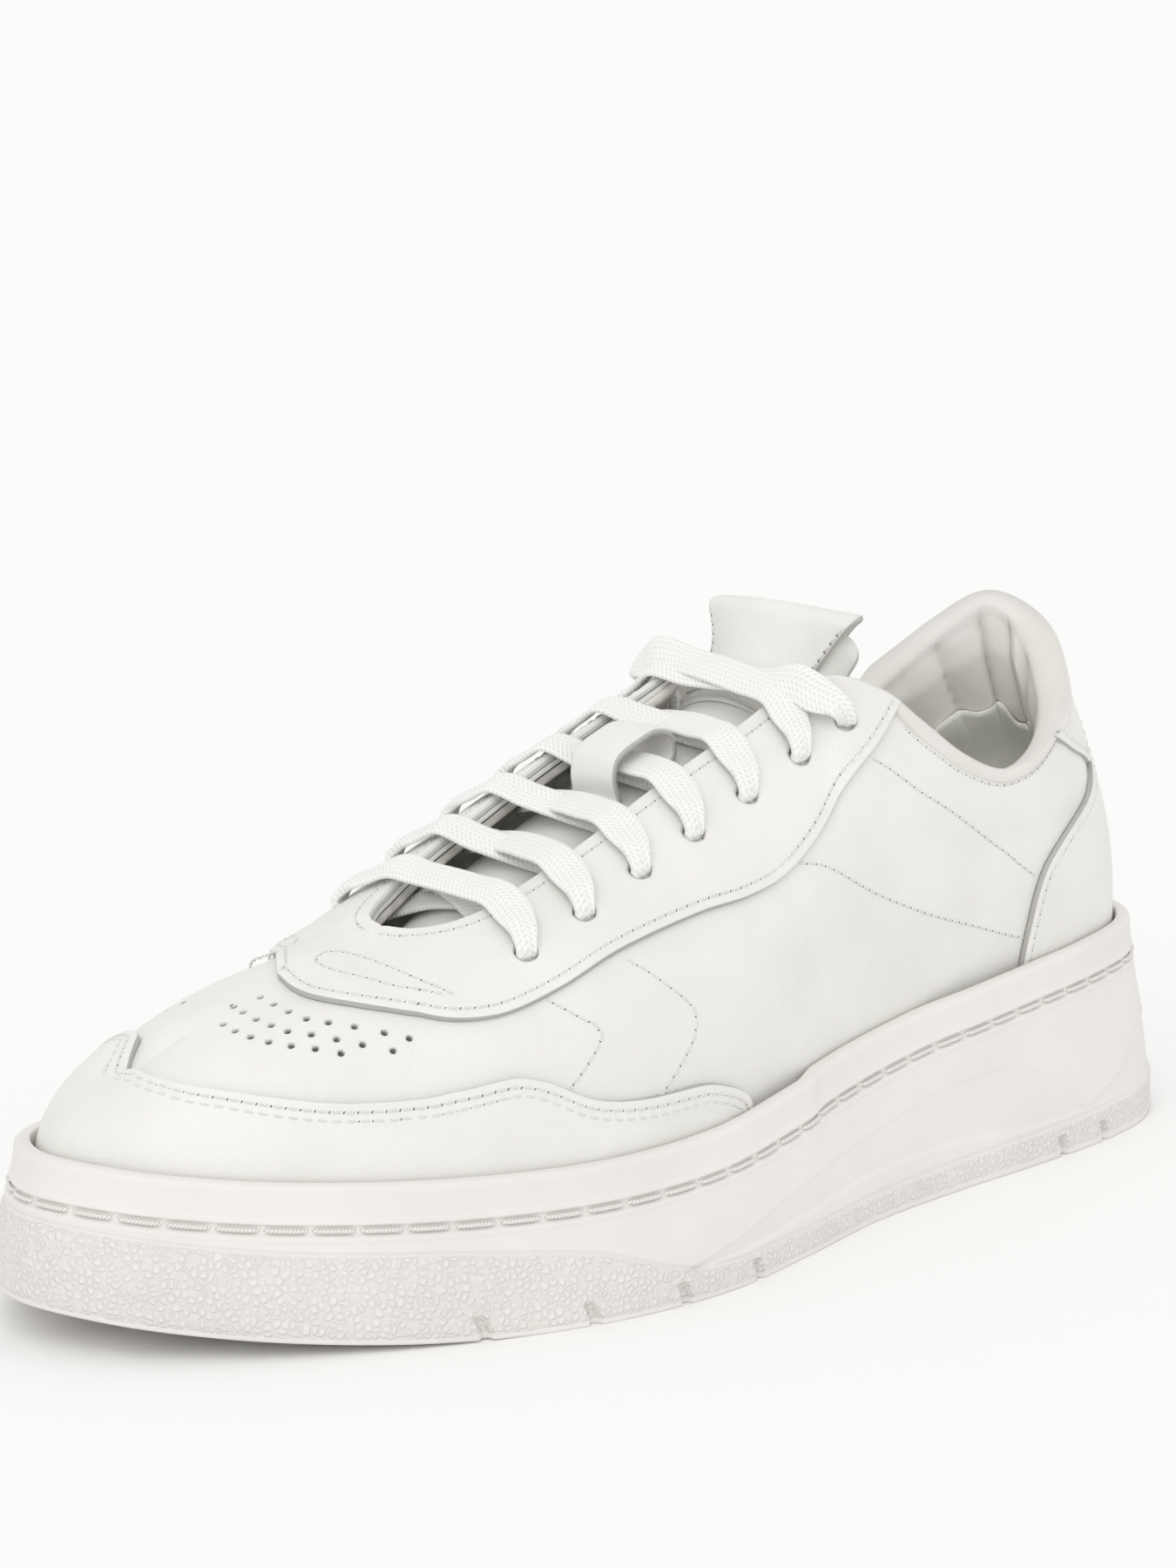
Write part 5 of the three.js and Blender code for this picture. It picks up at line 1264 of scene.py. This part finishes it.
# Sole unit: cupsole wall with a rounded rim, a sunk groove with its thread, moulded reliefs and a tread
sole = {"rimWall": 3.3, "overlay": 1.4, "seam": 0.3, "grooveBelowRim": 8.5, "grooveWidth": 1.7,
        "grooveDepth": 0.6, "thread": 0.85, "stitch": 9.2, "tread": 1.6, "treadPitch": 6.5,
        "rimRound": 1.5, "lowRound": 2.6, "cuts": (-112, -96, 18, 40, 62, 84), "cutDepth": 1.3,
        "middleInset": 16}


def overlayHere(p):
    return np.maximum(1 - smoothStep(0.29, 0.35, p), smoothStep(0.45, 0.48, p))


def rimInset(p):
    return upperInset(p) - (sole["seam"] + 0.5 + (sole["overlay"] + sole["seam"]) * overlayHere(p))


def wallInset(p, z, rim, low):
    outer = rimInset(p) - sole["rimWall"]
    return outer * (1 - smoothStep(0, 1, (rim - z) / (rim - low - 7)))


# Height of the border between the smooth wall and the grained band, as a share of the wall's height
grainTop = {1: smoothRows([[-153, 0.2], [-120, 0.17], [-60, 0.15], [10, 0.17], [40, 0.22], [62, 0.44], [80, 0.52],
                           [120, 0.56], [153, 0.58]]),
            -1: smoothRows([[-153, 0.2], [-120, 0.17], [-60, 0.15], [0, 0.17], [28, 0.22], [50, 0.44], [75, 0.52],
                            [120, 0.56], [153, 0.58]])}


# A raised moulded figure on the wall: a long low wedge under the arch and a wedge at the heel
def moulding(x, h):
    wedge = smoothRows([[-104, 0.2], [-84, 0.5], [-60, 0.56], [-30, 0.5], [6, 0.42], [44, 0.2]])(x)[..., 0]
    inner = smoothRows([[-104, 0.2], [-84, 0.2], [-60, 0.26], [-30, 0.28], [6, 0.25], [44, 0.2]])(x)[..., 0]
    inWedge = smoothStep(-0.012, 0.012, wedge - h) * smoothStep(-0.012, 0.012, h - inner)
    slope = np.clip((wedge - h) / np.maximum(wedge - inner, 0.02), 0, 1)
    heel = smoothRows([[-150, 0.34], [-138, 0.52], [-118, 0.3], [-104, 0.2]])(x)[..., 0]
    inHeel = smoothStep(-0.012, 0.012, heel - h) * smoothStep(0.19, 0.21, h) * smoothStep(-150, -148, x)
    return -0.9 * inWedge * (0.35 + 0.65 * slope) * (x > -104) * (x < 44) - 0.6 * inHeel * (x < -104)


# How far a rounded corner steps in at a distance from its end
def roundOff(distance, radius):
    return np.where(distance < radius, radius - np.sqrt(np.maximum(radius**2 - (radius - distance) ** 2, 0)), 0)


def makeSole():
    piece = Piece("cupsole")
    ps = np.linspace(0, 1, 620)
    for side in (1, -1):
        around = outline(ps, side, 2.0)
        x, y, nx, ny = around
        low, rim = toeSpring(x), rimZ(x)
        height = rim - low
        groove = rim - sole["grooveBelowRim"]
        # levels of the wall from the bottom edge to the top of the rim
        h = np.concatenate([np.linspace(0.045, 0.62, 74), np.linspace(0.62, 1, 90)[1:]])
        z = low[:, None] + height[:, None] * h[None, :]
        inset = wallInset(ps[:, None], z, rim[:, None], low[:, None])
        gap = np.abs(z - groove[:, None]) / (sole["grooveWidth"] / 2)
        recess = smoothStep(1.25, 0.8, gap)
        inset = inset + sole["grooveDepth"] * recess
        # soft shoulders beside the groove and the round top of the rim
        inset = inset - 0.25 * smoothStep(1.2, 1.6, gap) * smoothStep(3.2, 1.8, gap)
        fromTop = rim[:, None] - z
        inset = inset + roundOff(fromTop, sole["rimRound"])
        top = grainTop[side](x)[..., 0][:, None]
        grain = smoothStep(0.006, -0.006, h[None, :] - top)
        inset = inset - 0.35 * grain + 0.35 * smoothStep(0.022, 0.0, np.abs(h[None, :] - top - 0.012))
        inset = inset - moulding(x[:, None], h[None, :]) * 0.8
        # bottom edge: small round
        fromLow = z - low[:, None]
        inset = inset + roundOff(fromLow, sole["lowRound"]) * 0.8
        # short tread grooves that run out through the bottom edge
        cut = np.zeros_like(z)
        for at in sole["cuts"]:
            across = np.abs(x[:, None] - at - fromLow * 0.5)
            cut = np.maximum(cut, smoothStep(1.3, 0.7, across) * smoothStep(5.2, 4.0, fromLow))
        inset = inset + sole["cutDepth"] * cut
        wall = stack(*(place[:, None] - way[:, None] * inset for place, way in ((x, nx), (y, ny))), z)
        inner = rimInset(ps)
        crown = []
        for distance, drop in ((0.55, 0.0), (0.3, 0.05), (0.12, 0.35), (0.1, 1.2), (0.1, 3.0), (0.1, 5.8)):
            d = inner - distance
            crown.append(np.column_stack([insetPlace(around, d), rim - drop]))
        shelf = []
        for distance, up in ((0.65, 0.5), (2.8, 0.0), (9.0, 0.0)):
            d = inner + distance
            floor = boardZ(x)
            height = floor + (rim - last["wallTuck"] - floor) * up - (distance > 8) * 0.6
            shelf.append(np.column_stack([insetPlace(around, d), height]))
        # flat underside with a herringbone of raised ribs
        middle = middleLine(around, ps, side, sole["middleInset"])
        edge = insetPlace(around, inset[:, 0])
        t = np.linspace(1, 0, 64)[None, :, None]
        flat = edge[:, None] * (1 - t) + middle[:, None] * t
        spring = toeSpring(flat[..., 0])
        wave = np.abs(np.mod(flat[..., 1] + 200, 22) - 11) * 0.9
        rib = smoothStep(-0.45, 0.15, np.sin((flat[..., 0] + wave) * 2 * np.pi / sole["treadPitch"]))
        border = smoothStep(0, 6, np.linalg.norm(flat - edge[:, None], axis=-1) - 3)
        waist = smoothStep(-62, -52, flat[..., 0]) * smoothStep(2, -8, flat[..., 0])
        under = np.dstack([flat, spring + sole["tread"] * (1 - rib) * border * (1 - waist) + 1.2 * waist * border])
        soft = np.linspace(0, 1, 4)[None, :, None]
        corner = under[:, -1:] * (1 - soft) + wall[:, :1] * soft
        whole = np.concatenate([under, corner[:, 1:-1], wall, np.stack(crown + shelf, 1)], axis=1)
        share = np.zeros(whole.shape[:2])
        start = under.shape[1] + corner.shape[1] - 2
        share[:, start:start + wall.shape[1]] = grain
        piece.grid(whole, share=share, flip=side > 0)
    return piece.finish([rubberFace], "sole_rubber", "cupsole")


# Long stitches that lie in the groove and dive through the wall
def makeSidewallThread():
    seam = Stitches("sidewallStitches")
    for side in (1, -1):
        ps = np.linspace(0, 1, 900)
        x, y, nx, ny = outline(ps, side)
        low, rim = toeSpring(x), rimZ(x)
        z = rim - sole["grooveBelowRim"]
        inset = wallInset(ps, z, rim, low) + sole["grooveDepth"] - 0.15
        line = np.stack([x - nx * inset, y - ny * inset, z], -1)
        normal = np.stack([nx, ny, 0 * nx], -1)
        length = np.concatenate([[0], np.cumsum(np.linalg.norm(np.diff(line, axis=0), axis=1))])
        count = int(length[-1] / sole["stitch"])
        for i in range(count):
            t = np.linspace(-1, 1, 15)
            at = (i + 0.5 + t * 0.46) * length[-1] / count
            path = np.stack([np.interp(at, length, line[:, k]) for k in range(3)], -1)
            out = unit(np.stack([np.interp(at, length, normal[:, k]) for k in range(3)], -1))
            dip = 0.9 * np.abs(t) ** 7
            path = path + out * (0.5 - dip)[:, None]
            run = unit(np.gradient(path, axis=0))
            wide = unit(np.cross(out, run))
            up = np.cross(run, wide)
            angle = np.linspace(0, 2 * np.pi, 11)
            r = sole["thread"] / 2 * (1 - 0.25 * np.abs(t) ** 6)[:, None]
            ring = (path[:, None] + wide[:, None] * (np.cos(angle)[None] * r)[..., None]
                    + up[:, None] * (np.sin(angle)[None] * r)[..., None])
            seam.grid(ring, uv=stack(at[:, None], (angle / 2 / np.pi)[None]), flip=True)
    return seam.finish([threadFace, needleShadeFace], "thread", "sidewall_thread", weld=False)


makeSole()
makeSidewallThread()
print("sole made")

# Inner solids keep their shapes and get their own finishes
hidden = {"midsole_insert": foamFace, "strobel_board": boardFace, "counter_stiffener": boardFace,
          "toe_puff": boardFace, "aglet_outer": filmFace, "aglet_inner": filmFace}
for name, face in hidden.items():
    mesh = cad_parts[name].data
    mesh.materials.clear()
    mesh.materials.append(face)

# Room: pale floor, even soft light all round and one wide soft sun from the camera's side, as elevation and azimuth
room = {"floor": paint(250, 250, 249), "world": 0.88, "key": 0.65, "keyAngle": 50, "keyFrom": (42, 40)}


def makeFloor():
    mesh = bpy.data.meshes.new("floor")
    reach = 60.0
    corners = [(x * reach, y * reach, 0) for x, y in ((-1, -1), (1, -1), (1, 1), (-1, 1))]
    mesh.from_pydata(corners, [], [(0, 1, 2, 3)])
    deeper = tuple(c * 0.995 for c in room["floor"])
    dull = {"Specular IOR Level": 0.1}
    mesh.materials.append(cloudyMaterial("paleFloor", 3.0, room["floor"], deeper, 0.9, **dull))
    floor = bpy.data.objects.new("floor", mesh)
    bpy.context.scene.collection.objects.link(floor)


def makeLights():
    world = bpy.data.worlds.new("softRoom")
    bpy.context.scene.world = world
    world.use_nodes = True
    sky = world.node_tree.nodes["Background"]
    sky.inputs["Color"].default_value = (1, 1, 1, 1)
    sky.inputs["Strength"].default_value = room["world"]
    light = bpy.data.lights.new("key", "SUN")
    light.energy = room["key"]
    light.angle = math.radians(room["keyAngle"])
    sun = bpy.data.objects.new("key", light)
    rise, turn = (math.radians(angle) for angle in room["keyFrom"])
    toward = Vector((math.cos(rise) * math.cos(turn), math.cos(rise) * math.sin(turn), math.sin(rise)))
    sun.rotation_mode = "QUATERNION"
    sun.rotation_quaternion = toward.to_track_quat("Z", "Y")
    bpy.context.scene.collection.objects.link(sun)


# Camera at eye height of a table-top shot, off the outer front quarter
shot = {"place": (608.758, 638.407, 258.76), "yaw": 46.562, "pitch": 10.7, "lens": 99.04,
        "shift": (-0.0247, -0.003)}


def makeCamera():
    data = bpy.data.cameras.new("camera")
    data.sensor_width = 36
    data.lens = shot["lens"]
    data.shift_x, data.shift_y = shot["shift"]
    data.clip_start, data.clip_end = 0.05, 200
    camera = bpy.data.objects.new("camera", data)
    camera.location = Vector(toFrame(np.array(shot["place"])))
    yaw, pitch = math.radians(shot["yaw"]), math.radians(shot["pitch"])
    look = Vector((-math.cos(yaw) * math.cos(pitch), -math.sin(yaw) * math.cos(pitch), -math.sin(pitch)))
    camera.rotation_mode = "QUATERNION"
    camera.rotation_quaternion = look.to_track_quat("-Z", "Y")
    bpy.context.scene.collection.objects.link(camera)
    bpy.context.scene.camera = camera


makeFloor()
makeLights()
makeCamera()
bpy.context.scene.view_settings.view_transform = "Standard"
